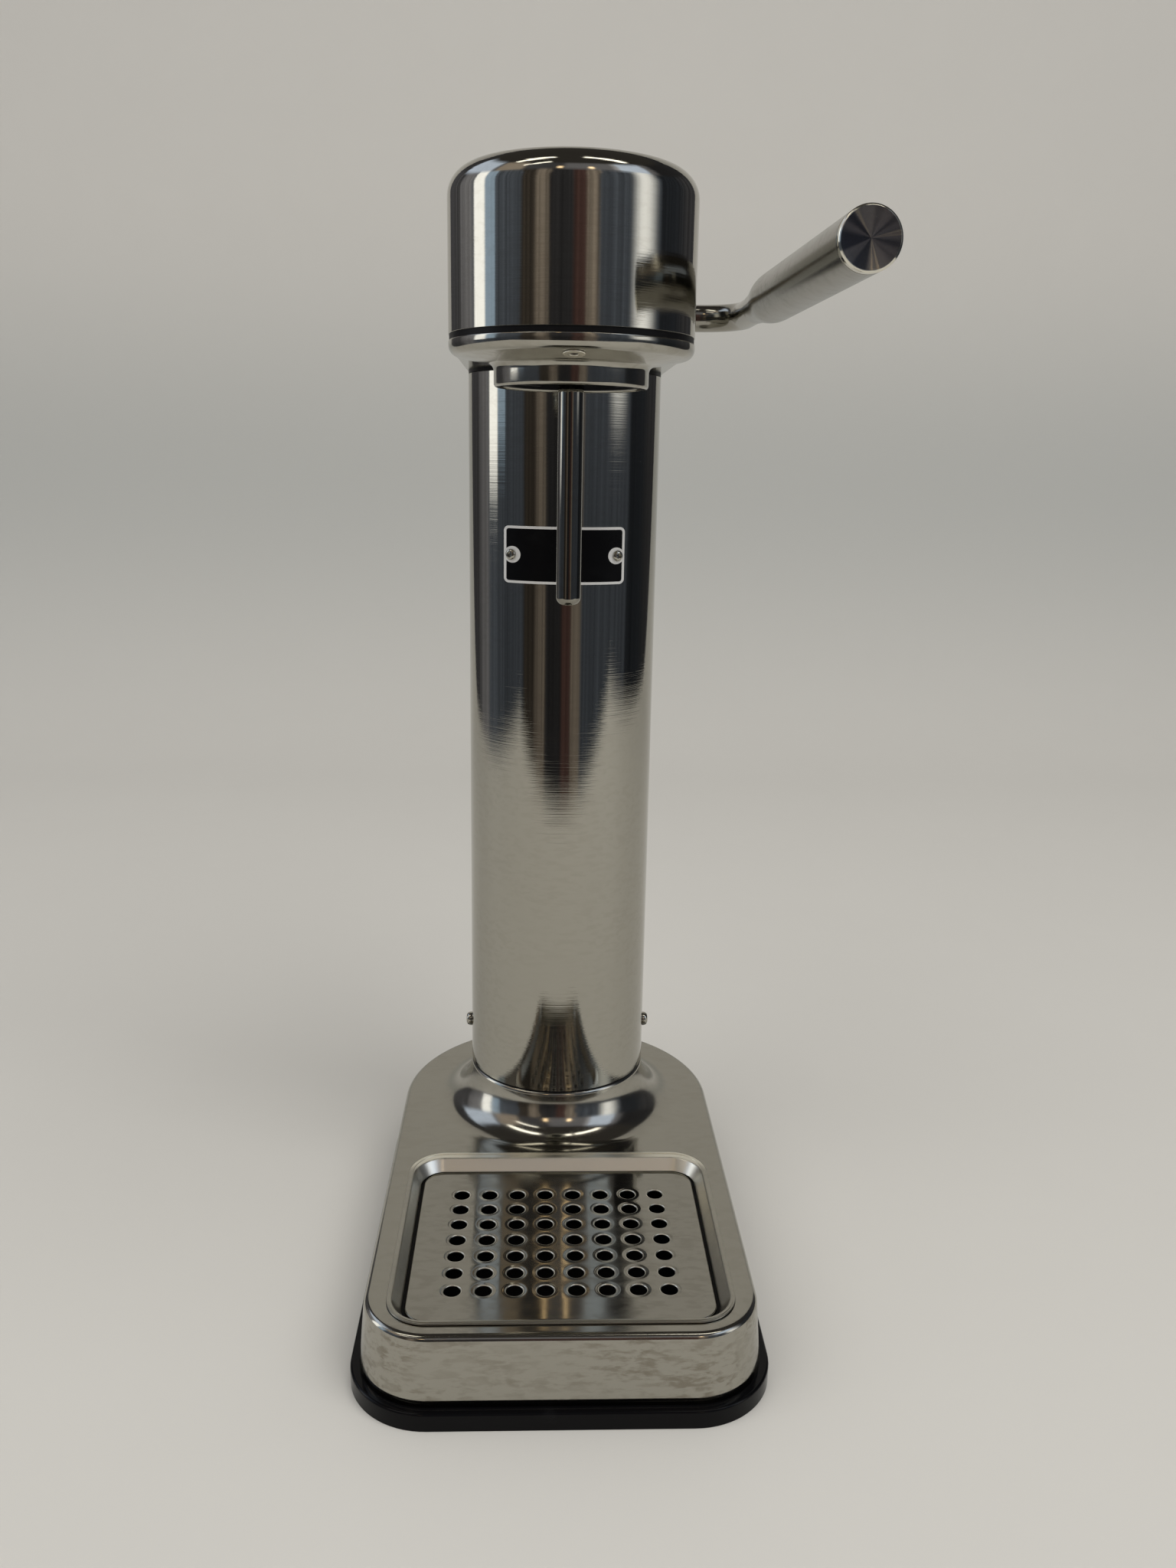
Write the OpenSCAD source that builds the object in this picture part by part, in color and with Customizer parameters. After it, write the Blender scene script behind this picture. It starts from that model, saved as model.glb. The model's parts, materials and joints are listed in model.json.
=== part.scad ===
// Lever sparkling water maker: a polished steel base, a column that holds the gas cylinder,
// and a head with the bottle collar, the nozzle and a pull lever. Millimetres, +Z up.
// The origin is the column's axis at floor level, and the front faces -Y.

/* [Base] */
// Half the width of the foot, and the radius of its round back
foot_half_w = 76.5; // [74:0.5:84]
// Distance from the column's axis to the front of the foot
foot_front = 181.5; // [179:0.5:200]
// Radius of the foot's front corners
foot_corner_r = 30; // [24:1:36]
// Height of the foot's outer rim
foot_h = 7; // [6:0.5:10]
// Thickness of the foot's floor
foot_floor = 3; // [2.5:0.5:4]
// Height of the rib that locates the shell, above the rim
foot_rib_h = 3.5; // [2:0.5:5]
// How far the foot stands proud of the shell
ledge_w = 3.4; // [2.5:0.1:5]
// Height of the shell's flat top
base_h = 33.5; // [31:0.5:45]
// Thickness of the shell's sheet
shell_t = 0.8; // [0.6:0.1:1.2]
// How far the shell's walls lean in over their height
shell_draft = 2; // [1:0.5:4]
// Radius of the shell's top edge
shell_edge_r = 2.5; // [1.5:0.5:4]
// Radius of the flare where it leaves the flat top
flare_r = 56.5; // [52:0.5:57]
// Height of the top of the flare
neck_h = 52.9; // [48:0.1:60]
// Radius of the rubber pads under the foot
pad_r = 9; // [6:1:12]
// Thickness of the rubber pads, sunk flush in the foot
pad_t = 1.5; // [1:0.5:2]

/* [Drip tray] */
// Half the width of the tray's rim
rim_half_w = 62.7; // [62:0.1:64]
// Back edge of the rim, in front of the column's axis
rim_back = 57.5; // [57.5:0.5:60.5]
// Front edge of the rim
rim_front = 170; // [169.5:0.5:172]
// Radius of the rim's corners
rim_corner_r = 15; // [12:1:18]
// Thickness of the tray's sheet
tray_t = 0.8; // [0.6:0.1:1]
// Width of the lip that slopes from the rim down into the well
lip_w = 3.6; // [3:0.1:3.7]
// Slope of that lip, in degrees
lip_slope = 55; // [50:1:56]
// Half the width of the well in the tray
well_half_w = 57.5; // [56:0.1:58]
// Back of the well
well_back = 65.3; // [65:0.1:68]
// Front of the well
well_front = 165; // [162:0.1:165.2]
// Radius of the well's corners
well_corner_r = 10; // [7:1:12]
// Depth from the rim's underside to the ledge that carries the plate
ledge_drop = 4.2; // [4:0.1:6]
// Width of that ledge
tray_ledge_w = 3; // [2:0.5:5]
// Height of the tray's floor, inside
tray_floor_z = 12; // [11.5:0.5:18]
// Gap all round between the plate and the well
plate_gap = 1.4; // [0.5:0.1:1.5]
// Thickness of the perforated plate
plate_t = 1; // [0.8:0.1:1.5]
// Radius of the plate's holes
hole_r = 3; // [2:0.1:3.6]
// Holes across the plate
hole_cols = 8; // [4:1:9]
// Rows of holes from back to front
hole_rows = 7; // [3:1:8]
// Spacing of the holes across
hole_step_x = 11.4; // [9:0.1:12]
// Spacing of the holes from back to front
hole_step_y = 10.4; // [8:0.1:11]

/* [Column] */
// Outer radius of the column, the head and the dish
column_r = 39.9; // [39:0.1:42]
// Thickness of the column's tube
column_t = 0.8; // [0.6:0.1:1.2]
// Length of the column's tube
column_len = 305.7; // [290:0.1:330]
// Thickness of the dark ring under the tube
foot_ring_t = 0.7; // [0.5:0.1:1.5]
// Thickness of the dark ring on top of the tube
top_ring_t = 1; // [0.5:0.1:2]
// Inner radius of the sleeve that holds a 60 mm gas cylinder
bay_r = 31; // [30.8:0.1:31.5]
// Inner radius of the ring that guides the cylinder, at the sleeve's mouth
guide_r = 30.4; // [30.2:0.1:30.6]
// Length of that ring
guide_len = 14; // [8:1:30]
// Wall of that sleeve
sleeve_t = 2; // [1.6:0.1:2.2]
// Height of the base frame's socket above the floor
socket_ring_h = 84; // [80:1:110]
// Distance of the two screws in the column's sides below the socket's top
side_screw_drop = 13.3; // [8:0.1:18]
// Radius of the side screws' heads
side_screw_r = 3.1; // [2.5:0.1:4]

/* [Badge] */
// Height of the badge's centre
badge_z = 288.4; // [200:0.1:320]
// Height of the badge
badge_h = 22.6; // [18:0.1:30]
// Width of the badge, measured straight across
badge_w = 48.6; // [44:0.1:52]
// Radius of its corners
badge_corner_r = 2; // [1:0.5:4]
// How far the badge stands off the column
badge_t = 0.9; // [0.6:0.1:1.5]
// Width of the bright border
badge_border = 1; // [0.8:0.1:2]
// Distance of each badge screw from the middle
badge_screw_x = 20.9; // [18:0.1:21]
// Radius of the badge screws' heads
badge_screw_r = 2.2; // [1.6:0.1:2.4]

/* [Head] */
// Distance from the column's axis to the bottle's axis
reach = 117; // [108:0.5:122]
// Height of the cap
cap_h = 49.9; // [46:0.1:60]
// Radius of the cap's top edge
cap_edge_r = 9; // [5:0.5:12]
// Thickness of the cap's sheet
cap_t = 0.8; // [0.6:0.1:1.2]
// Height of the dark gasket between cap and dish
gap_h = 1.7; // [1.2:0.1:3]
// How far that gasket is set back
gap_inset = 0.3; // [0.1:0.1:0.8]
// Width of that gasket
gasket_w = 3; // [2.5:0.1:4]
// Thickness of the dish
dish_t = 1.5; // [1.2:0.1:2]
// Depth of the dish's inner floor below its flange
dish_drop = 2.3; // [2:0.1:3]
// Radius of the dish's lower edge
dish_edge_r = 3.3; // [2.5:0.1:3.3]
// Slope of the dish's underside, down to the collar, in degrees
dish_slope = 11; // [8:1:12]
// Thickness of the frame plate inside the head
frame_t = 5; // [4:0.5:7]
// Radius of the vent ring in the dish
vent_r = 3.5; // [2.5:0.1:3.6]
// Distance of the vent ring from the nozzle's axis
vent_reach = 33.5; // [32.5:0.1:33.6]

/* [Bottle collar and nozzle] */
// Outer radius of the bottle collar
collar_r = 25.3; // [24.5:0.1:26]
// Wall of the collar
collar_t = 2.5; // [2:0.1:3]
// How far the collar hangs below the dish's flange
collar_h = 12.5; // [12:0.1:17]
// Radius of the fillet between dish and collar
collar_fillet = 2.4; // [2:0.1:3]
// Radius of the collar's rim
collar_edge_r = 1.8; // [1:0.1:2]
// Wall of the threaded insert
insert_t = 2.2; // [1.8:0.1:3]
// How far the insert's lugs stand out
lug_h = 1.2; // [0.8:0.1:1.6]
// Radius of the nozzle tube
nozzle_r = 4.2; // [3.5:0.1:5]
// Bore of the nozzle tube
nozzle_bore_r = 2.6; // [1.5:0.1:2.8]
// How far the nozzle hangs below the collar's rim
nozzle_len = 70.5; // [60:0.5:80]
// Radius of the seal's hole
seal_hole_r = 7; // [6:0.5:10]
// Thickness of the bottle seal
seal_t = 2.5; // [2:0.5:3]
// Radius of the nozzle block's boss
boss_r = 20; // [19:0.5:21]
// Height of the boss above the frame plate
boss_h = 11.2; // [10:0.1:14]
// Distance of the two valves from the nozzle's axis
valve_x = 13; // [13:0.1:14.5]

/* [Lever] */
// Radius of the lever's rod
rod_r = 5.4; // [4.8:0.1:5.6]
// Distance of the lever's axis behind the column's axis
pivot_y = 12; // [11.5:0.1:13]
// Height of the lever's axis above the frame plate
pivot_up = 17.4; // [17:0.1:20]
// Distance of the rod's bend from the middle, at the grip's axis
bend_x = 73.5; // [70:0.1:84]
// Angle by which the grip's axis leans out from straight ahead
splay = 1.6; // [0:0.1:3]
// Radius of the rod's bend, at its axis
bend_r = 18; // [14:1:22]
// Radius of the grip
grip_r = 8.9; // [8:0.1:11]
// Length of straight rod between the bend and the grip
grip_start = 24; // [14:1:42]
// Length of the flared part of the grip
grip_flare = 36; // [24:1:50]
// Length of the straight part of the grip
grip_len = 119.5; // [90:1:140]
// Thickness of the grip's end cap
grip_cap_t = 3; // [2:0.5:5]
// Chamfer on the end cap
grip_cap_edge = 0.7; // [0.4:0.1:1.5]

/* [Gas valve] */
// Radius of the socket's thread for the cylinder's 21 mm valve
thread_r = 10.5; // [10.4:0.1:10.8]
// Depth of that thread
thread_len = 9; // [8:0.5:11]
// Outer radius of the brass socket
socket_r = 14; // [13.5:0.1:14.5]
// How far the socket hangs below the frame plate
socket_drop = 16.8; // [16.8:0.1:20]
// How far the socket stands above the frame plate
socket_up = 8.7; // [8.5:0.1:9]
// Radius of the push pin
pin_r = 3; // [2.5:0.1:3.2]
// Radius of the push pin's head
pin_head_r = 3.5; // [3.4:0.1:3.8]
// Radius of the hose and of the spigots that it joins
hose_r = 3; // [2:0.1:3]
// How far the hose swings out on its way
hose_swing = 7; // [0:1:12]

/* [Clearances] */
// Radial clearance of a turning or sliding fit
run_c = 0.05; // [0.02:0.01:0.08]
// Clearance between pieces that are put together
fit_c = 0.1; // [0.05:0.05:0.2]
// Clearance round a piece that lifts out
loose_c = 0.5; // [0.3:0.1:0.8]

/* [Hidden] */
$fn = 72;

steel = "gainsboro";
dark = [0.08, 0.08, 0.09];
rubber = [0.15, 0.15, 0.16];
brass = "goldenrod";
alloy = "silver";
eps = 0.01;

// Heights, from the floor up
tube_z0 = neck_h + foot_ring_t;
tube_z1 = tube_z0 + column_len;
dish_z0 = tube_z1 + top_ring_t;
dish_z1 = dish_z0 + dish_t;
cap_z0 = dish_z1 + gap_h;
cap_z1 = cap_z0 + cap_h;
dish_floor = dish_z0 - dish_drop;
collar_z0 = dish_z0 - collar_h;
frame_z0 = dish_z1;
frame_z1 = frame_z0 + frame_t;
socket_z0 = frame_z0 - socket_drop;
socket_z1 = frame_z1 + socket_up;
pivot_z = frame_z1 + pivot_up;

// Base
shell_w = foot_half_w - ledge_w;
shell_front = foot_front - ledge_w;
shell_corner = foot_corner_r - ledge_w;
rib_gap = 0.4;
rib_t = 2.5;
rib_z1 = foot_h + foot_rib_h;
neck_in_r = column_r - shell_t;
pad_places = [[-58, -150], [58, -150], [-57, 30], [57, 30]];
stud_places = [[-60, -46], [60, -46], [-45, 46], [45, 46]];
stud_r = 2;
stud_nut_r = 4;
stud_nut_h = 3;
screw_ring = 50;
screw_r = 2;
screw_head_r = 3.6;
screw_head_h = 1.6;
frame_disc_r = 60;
frame_disc_t = 3;
frame_wall = column_r - max(column_t, shell_t) - fit_c;

// Drip tray
tray_y = -(rim_front + rim_back) / 2;
rim_half_l = (rim_front - rim_back) / 2;
rim_z1 = base_h + tray_t;
well_y = -(well_front + well_back) / 2;
well_half_l = (well_front - well_back) / 2;
tray_ledge_z = base_h - ledge_drop;
basin_half_w = well_half_w - tray_ledge_w;
basin_half_l = well_half_l - tray_ledge_w;
basin_corner = well_corner_r - tray_ledge_w + 1;

// Column
sleeve_r = bay_r + sleeve_t;
sleeve_z1 = frame_z0 - 9.8;
spigot_t = 2.7;
spigot_len = 16;
spigot_r = sleeve_r + fit_c + spigot_t;
spigot_z0 = sleeve_z1 - spigot_len;
opening_r = spigot_r + 0.3;
side_screw_h = 2.6;
side_shank_r = 1.9;
side_screw_len = 5;
side_screw_z = socket_ring_h - side_screw_drop;

// Badge
badge_screw_turn = asin(badge_screw_x / column_r);
notch_r = badge_screw_r + 1.1;
badge_screw_h = 1.4;
badge_shank_r = 1;
badge_screw_len = 3;
field_t = 0.25;

// Head
head_in_r = column_r - cap_t;
gasket_out = column_r - gap_inset;
gasket_in = gasket_out - gasket_w;
frame_r = gasket_in - 0.2;
dish_turn_z = dish_z0 - (dish_edge_r - dish_t) * cos(dish_slope);
dish_turn_r = column_r - dish_edge_r + (dish_edge_r - dish_t) * sin(dish_slope);
floor_r = dish_turn_r - (dish_turn_z - dish_floor) / tan(dish_slope);
fillet_z = dish_under(collar_r + collar_fillet * (1 - sin(dish_slope)))
  - collar_fillet * cos(dish_slope);
cap_screw_z = frame_z1 + 7;
cap_screw_r = 1.5;
cap_screw_len = 6;
cap_screw_head_r = 2.8;
cap_screw_head_h = 1.6;
small_shank_r = 1.4;
small_hole_r = small_shank_r + fit_c;
small_head_h = 1.8;
blind_t = 1.1;
post_half_l = 9.5;
lug_half_w = 5;
lug_l = 6;
vent_hole_r = 1.3;
vent_rise = 0.5;
frame_screw_places = [[-28, -44], [28, -44], [-28, -66], [28, -66]];

// Bottle collar and nozzle
collar_in_r = collar_r - collar_t;
insert_r = collar_in_r - fit_c;
insert_in_r = insert_r - insert_t;
insert_z0 = collar_z0 + 0.6;
block_z0 = dish_floor - 1;
flange_r = boss_r + 8;
boss_z1 = frame_z1 + boss_h;
block_screw_ring = boss_r + 4.3;
nozzle_tip_z = collar_z0 - nozzle_len;
nozzle_nut_t = 5;
nozzle_nut_r = nozzle_r + 3;
nozzle_z1 = boss_z1 + nozzle_nut_t + 2;
spray_hole_r = 0.6;
tip_round = 2.6;
valve_r = 4.6;
valve_h = 12;
valve_bore = 3.05;
poppet_h = 3;
poppet_z = boss_z1 + 3;
stem_r = 1.2;
valve_cap_t = 2;

// Lever
pin_top_z = pivot_z - 3.1;
cam_nose_r = 3;
cam_hub_r = rod_r + 2.1;
cam_half_w = 4.5;
bush_x0 = 20;
bush_x1 = 30;
bush_t = 1.6;
clip_x = bush_x1 + 0.3;
clip_t = 1;
shaft_end = clip_x + clip_t + 1.2;
rod_bend_x = bend_x - bend_r;
rod_plug = 22;
bend_swell = 0.04;
bend_sink = 0.5;
grip_end = grip_start + grip_flare + grip_len;
seal_x = sqrt(column_r * column_r - pivot_y * pivot_y);
grip_neck_r = rod_r + 0.6;
grip_wall = 1.8;
joint_h = 0.5;
groove_h = 0.8;
cam_screw_r = 1.5;
seal_w = 1.1;
seal_in = 2.6;
seal_out = 0.6;

// Gas valve
chamber_z1 = socket_z0 + thread_len;
seat_t = 2;
seat_r = thread_r - 2.5;
flange_t = 5;
flange_low_z = frame_z0 - flange_t;
spring_seat_z = frame_z0 + 0.2;
counter_r = pin_r + 3.2;
pin_tip_z = chamber_z1 + 1;
pin_head_h = 3;
pin_rim = 2.2;
hose_z = socket_z1 - hose_r + 0.1;
hose_y0 = -(socket_r + 9);
hose_y1 = -(reach - boss_r - 9);
hose_end = 6;
hose_nut_r = 5;
hose_nut_len = 8;
socket_nut_t = 2.5;
socket_nut_r = 17;

// Outline of a wall: points [distance out from the wall line, height] between the middle's two ends
function section(w, wall) = concat(
  [[0, wall[0][1]]],
  [for (p = wall) [w + p[0], p[1]]],
  [[0, wall[len(wall) - 1][1]]]
);
function both_sides(pts) = concat(pts, [for (i = [len(pts) - 2:-1:1]) [-pts[i][0], pts[i][1]]]);

// Points of an arc about [x, y], from one angle to another in six steps
function arc(x, y, r, from, to) = [
  for (i = [0:6]) let (a = from + (to - from) * i / 6) [x + r * cos(a), y + r * sin(a)]
];

// Walls: straight, leaning in with a round top edge, or the two sides of the tray's sloped lip
function straight_wall(z0, z1) = [[0, z0], [0, z1]];
function round_top(z0, z1, lean, r) = concat([[0, z0]], arc(-r - lean, z1 - r, r, 0, 90));
function lip_inside(z0, z1) = concat(
  [[0, z0], [0, max(z0, lip_foot(lip_w - tray_t * sin(lip_slope)) + tray_t * cos(lip_slope))]],
  arc(lip_w, base_h, tray_t, 90 + lip_slope, 90),
  [[lip_w, z1]]
);
function lip_outside(z0, z1) = [
  [0, z0], [0, max(z0, lip_foot(lip_w - tray_t))], [lip_w - tray_t, base_h], [lip_w - tray_t, z1]
];
function lip_foot(run) = base_h - run * tan(lip_slope);

// Height of the dish's underside at a distance from the nozzle's axis
function dish_under(x) = dish_z0 - dish_edge_r * cos(dish_slope)
  - (column_r - dish_edge_r * (1 - sin(dish_slope)) - x) * tan(dish_slope);

// Rounded rectangle with the given wall, centred
module rounded_box(half_w, half_l, r, wall) {
  for (x = [-1, 1], y = [-1, 1])
    translate([x * (half_w - r), y * (half_l - r), 0]) rotate_extrude() polygon(section(r, wall));
  rotate([90, 0, 0])
    linear_extrude(2 * (half_l - r), center = true) polygon(both_sides(section(half_w, wall)));
  rotate([90, 0, 90])
    linear_extrude(2 * (half_w - r), center = true) polygon(both_sides(section(half_l, wall)));
}

// The base's outline: round at the back about the column, with two front corners
module base_block(half_w, front, r, wall) {
  rotate_extrude() polygon(section(half_w, wall));
  rotate([90, 0, 0]) linear_extrude(front - r) polygon(both_sides(section(half_w, wall)));
  for (x = [-1, 1])
    translate([x * (half_w - r), r - front, 0]) rotate_extrude() polygon(section(r, wall));
  translate([half_w - r, r - front, 0])
    rotate([90, 0, -90]) linear_extrude(2 * (half_w - r)) polygon(section(r, wall));
}

// The head's outline: two round ends joined by straight sides
module head_block(r, wall) {
  rotate_extrude() polygon(section(r, wall));
  translate([0, -reach, 0]) rotate_extrude() polygon(section(r, wall));
  rotate([90, 0, 0]) linear_extrude(reach) polygon(both_sides(section(r, wall)));
}

// Ring or disc between two heights
module ring(r_out, r_in, z0, z1) {
  translate([0, 0, z0]) difference() {
    cylinder(r = r_out, h = z1 - z0);
    if (r_in > 0) translate([0, 0, -1]) cylinder(r = r_in, h = z1 - z0 + 2);
  }
}

module at_nozzle() {
  translate([0, -reach, 0]) children();
}

// On the dish's sloping underside, in front of the nozzle
module at_vent() {
  translate([0, -reach - vent_reach, dish_under(vent_reach)]) rotate([-dish_slope, 0, 0]) children();
}

// Cylinder along X
module along_x(r, x0, x1) {
  translate([x0, 0, 0]) rotate([0, 90, 0]) cylinder(r = r, h = x1 - x0);
}

// Cylinder along -Y, from y0 forward to y1
module forward(r, y0, y1) {
  translate([0, y0, 0]) rotate([90, 0, 0]) cylinder(r = r, h = y0 - y1);
}

// Screw with a flat round head, its head's underside at the origin and its shank down
module screw(head_r, head_h, shank_r, shank_len) {
  difference() {
    union() {
      cylinder(r = head_r, h = head_h);
      translate([0, 0, -shank_len]) cylinder(r = shank_r, h = shank_len + eps);
    }
    translate([0, 0, head_h / 2]) cylinder(r = head_r / 2, h = head_h, $fn = 6);
  }
}

// Button-headed socket screw, its head's underside at the origin
module button_screw(head_r, head_h, shank_r, shank_len) {
  difference() {
    union() {
      rotate_extrude() polygon(concat(
        [[0, 0], [head_r, 0], [head_r, head_h * 0.25]],
        [for (a = [15:15:90]) [head_r * (0.45 + 0.55 * cos(a)), head_h * (0.25 + 0.75 * sin(a))]],
        [[0, head_h]]
      ));
      translate([0, 0, -shank_len]) cylinder(r = shank_r, h = shank_len + eps);
    }
    translate([0, 0, head_h * 0.4]) cylinder(r = head_r * 0.5, h = head_h, $fn = 6);
  }
}

// Points of a helix along Z, and one tube swept along any list of points
function helix(r, h, turns, steps) = [
  for (i = [0:turns * steps])
    [r * cos(360 * i / steps), r * sin(360 * i / steps), h * i / (turns * steps)]
];
function unit(v) = v / norm(v);
function heading(p, i) = unit(p[min(i + 1, len(p) - 1)] - p[max(i - 1, 0)]);
function ring_at(p, i, r, sides, up) =
  let (t = heading(p, i), u = unit(cross(t, up)), v = cross(u, t))
  [for (k = [0:sides - 1]) p[i] + r * (u * cos(360 * k / sides) + v * sin(360 * k / sides))];
module tube(path, r, sides, up) {
  last = len(path) - 1;
  points = [for (i = [0:last]) each ring_at(path, i, r, sides, up)];
  skin = [for (i = [0:last - 1], k = [0:sides - 1], half = [0, 1])
    let (a = i * sides + k, b = i * sides + (k + 1) % sides, c = a + sides, d = b + sides)
    half == 0 ? [a, c, d] : [a, d, b]];
  start = [for (k = [1:sides - 2]) [0, k, k + 1]];
  end = [for (k = [1:sides - 2]) [last * sides, last * sides + k + 1, last * sides + k]];
  polyhedron(points, concat(skin, start, end));
}

// Compression spring between two heights, with its wire inside them
module coil_spring(r, wire, z0, z1, turns) {
  rise = z1 - z0 - wire;
  echo(coil_gap_mm = rise / turns - wire);
  translate([0, 0, z0 + wire / 2]) tube(helix(r, rise, turns, 14), wire / 2, 6, [0, 0, 1]);
}

module foot_plinth() {
  color(dark) difference() {
    union() {
      base_block(foot_half_w, foot_front, foot_corner_r, round_top(0, foot_h, 0, 1));
      base_block(
        shell_w - shell_t - rib_gap, shell_front - shell_t - rib_gap,
        shell_corner - shell_t, straight_wall(1, rib_z1)
      );
    }
    base_block(
      shell_w - shell_t - rib_gap - rib_t, shell_front - shell_t - rib_gap - rib_t,
      shell_corner - shell_t - rib_t, straight_wall(foot_floor, rib_z1 + 1)
    );
    translate([0, 0, -1]) cylinder(r = sleeve_r + fit_c, h = foot_h);
    for (p = pad_places) translate([p[0], p[1], -1]) cylinder(r = pad_r + fit_c, h = 1 + pad_t);
    for (p = stud_places) translate([p[0], p[1], -1]) cylinder(r = stud_r + fit_c, h = foot_h);
    for (a = [45:90:315]) rotate(a) translate([screw_ring, 0, -1]) {
      cylinder(r = screw_r + fit_c, h = foot_h);
      cylinder(r = screw_head_r + fit_c, h = 1 + screw_head_h);
    }
  }
}

module floor_pads() {
  color(rubber) for (p = pad_places) translate([p[0], p[1], 0]) cylinder(r = pad_r, h = pad_t);
}

module base_screws() {
  color(steel) for (a = [45:90:315]) rotate(a) translate([screw_ring, 0, screw_head_h])
    mirror([0, 0, 1]) screw(screw_head_r, screw_head_h, screw_r, foot_floor + frame_disc_t - screw_head_h);
}

module base_frame() {
  color(alloy) difference() {
    union() {
      ring(frame_disc_r, 0, foot_floor, foot_floor + frame_disc_t);
      ring(frame_wall, 0, foot_floor, socket_ring_h);
    }
    translate([0, 0, -1]) cylinder(r = sleeve_r + fit_c, h = socket_ring_h + 2);
    for (a = [45:90:315]) rotate(a) translate([screw_ring, 0, 0])
      cylinder(r = screw_r + run_c, h = foot_h + foot_floor);
    translate([0, 0, side_screw_z]) along_x(side_shank_r + fit_c, -column_r, column_r);
  }
}

// The flare's curve, a quarter ellipse from the column down to the flat top
function flare_line(r_top, r_low, z_low, z_top) = [
  for (a = [0:10:90]) [r_low - (r_low - r_top) * cos(a), z_top - (z_top - z_low) * sin(a)]
];
module flare_solid(r_top, r_low, z_low, z_top) {
  rotate_extrude() polygon(concat(
    [[0, z_low - 2]], [[0, z_top]], flare_line(r_top, r_low, z_low, z_top), [[r_low, z_low - 2]]
  ));
}

module base_shell() {
  color(steel) difference() {
    union() {
      base_block(
        shell_w, shell_front, shell_corner, round_top(foot_h, base_h, shell_draft, shell_edge_r)
      );
      flare_solid(column_r, flare_r, base_h, neck_h);
    }
    base_block(
      shell_w - shell_t, shell_front - shell_t, shell_corner - shell_t,
      round_top(foot_h - 1, base_h - shell_t, shell_draft, shell_edge_r - shell_t)
    );
    flare_solid(neck_in_r, flare_r - shell_t, base_h - shell_t, neck_h + eps);
    translate([0, well_y, 0]) rounded_box(
      well_half_w + lip_w + loose_c, well_half_l + lip_w + loose_c,
      well_corner_r + lip_w + loose_c, straight_wall(base_h / 2, base_h + 1)
    );
  }
}

module shell_studs() {
  color(alloy) for (p = stud_places) translate([p[0], p[1], foot_floor / 2])
    cylinder(r = stud_r, h = base_h - shell_t - foot_floor / 2);
}

module stud_nuts() {
  color(alloy) for (p = stud_places) translate([p[0], p[1], foot_floor]) difference() {
    cylinder(r = stud_nut_r, h = stud_nut_h, $fn = 6);
    translate([0, 0, -1]) cylinder(r = stud_r + run_c, h = stud_nut_h + 2);
  }
}

module drip_tray() {
  color(steel) difference() {
    union() {
      translate([0, tray_y, 0]) rounded_box(
        rim_half_w, rim_half_l, rim_corner_r, round_top(base_h, rim_z1, 0, tray_t * 0.6)
      );
      translate([0, well_y, 0]) rounded_box(
        well_half_w + tray_t, well_half_l + tray_t, well_corner_r + tray_t,
        lip_outside(tray_ledge_z - tray_t, base_h + eps)
      );
      translate([0, well_y, 0]) rounded_box(
        basin_half_w + tray_t, basin_half_l + tray_t, basin_corner + tray_t,
        straight_wall(tray_floor_z - tray_t, tray_ledge_z)
      );
    }
    translate([0, well_y, 0]) {
      rounded_box(well_half_w, well_half_l, well_corner_r, lip_inside(tray_ledge_z, rim_z1 + eps));
      rounded_box(basin_half_w, basin_half_l, basin_corner, straight_wall(tray_floor_z, base_h));
    }
  }
}

module drip_plate() {
  color(steel) difference() {
    translate([0, well_y, 0]) rounded_box(
      well_half_w - plate_gap, well_half_l - plate_gap, well_corner_r - plate_gap,
      straight_wall(tray_ledge_z, tray_ledge_z + plate_t)
    );
    for (i = [0:hole_cols - 1], j = [0:hole_rows - 1]) translate([
      (i - (hole_cols - 1) / 2) * hole_step_x,
      well_y + (j - (hole_rows - 1) / 2) * hole_step_y,
      tray_ledge_z - 1
    ]) cylinder(r = hole_r, h = plate_t + 2, $fn = 32);
  }
}

module column_foot_ring() {
  color(dark) ring(column_r - fit_c, frame_wall + fit_c, neck_h, tube_z0);
}

module badge_screw_holes() {
  for (s = [-1, 1]) rotate(s * badge_screw_turn) translate([0, 0, badge_z])
    forward(badge_shank_r + fit_c, badge_screw_len - column_r, -column_r - badge_screw_len);
}

module column_tube() {
  color(steel) difference() {
    ring(column_r, column_r - column_t, tube_z0, tube_z1);
    translate([0, 0, side_screw_z]) along_x(side_shank_r + fit_c, -column_r - 1, column_r + 1);
    badge_screw_holes();
  }
}

module column_side_screws() {
  color(steel) for (s = [-1, 1]) translate([s * column_r, 0, side_screw_z]) rotate([0, s * 90, 0])
    button_screw(side_screw_r, side_screw_h, side_shank_r, side_screw_len);
}

module bay_sleeve() {
  color(dark) rotate_extrude() polygon([
    [guide_r, 0], [sleeve_r, 0], [sleeve_r, sleeve_z1], [bay_r, sleeve_z1],
    [bay_r, guide_len + bay_r - guide_r], [guide_r, guide_len]
  ]);
}

module column_head_ring() {
  color(alloy) ring(frame_wall, spigot_r + fit_c, spigot_z0, tube_z1);
}

module column_top_ring() {
  color(dark) ring(column_r - fit_c, opening_r, tube_z1, dish_z0);
}

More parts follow.
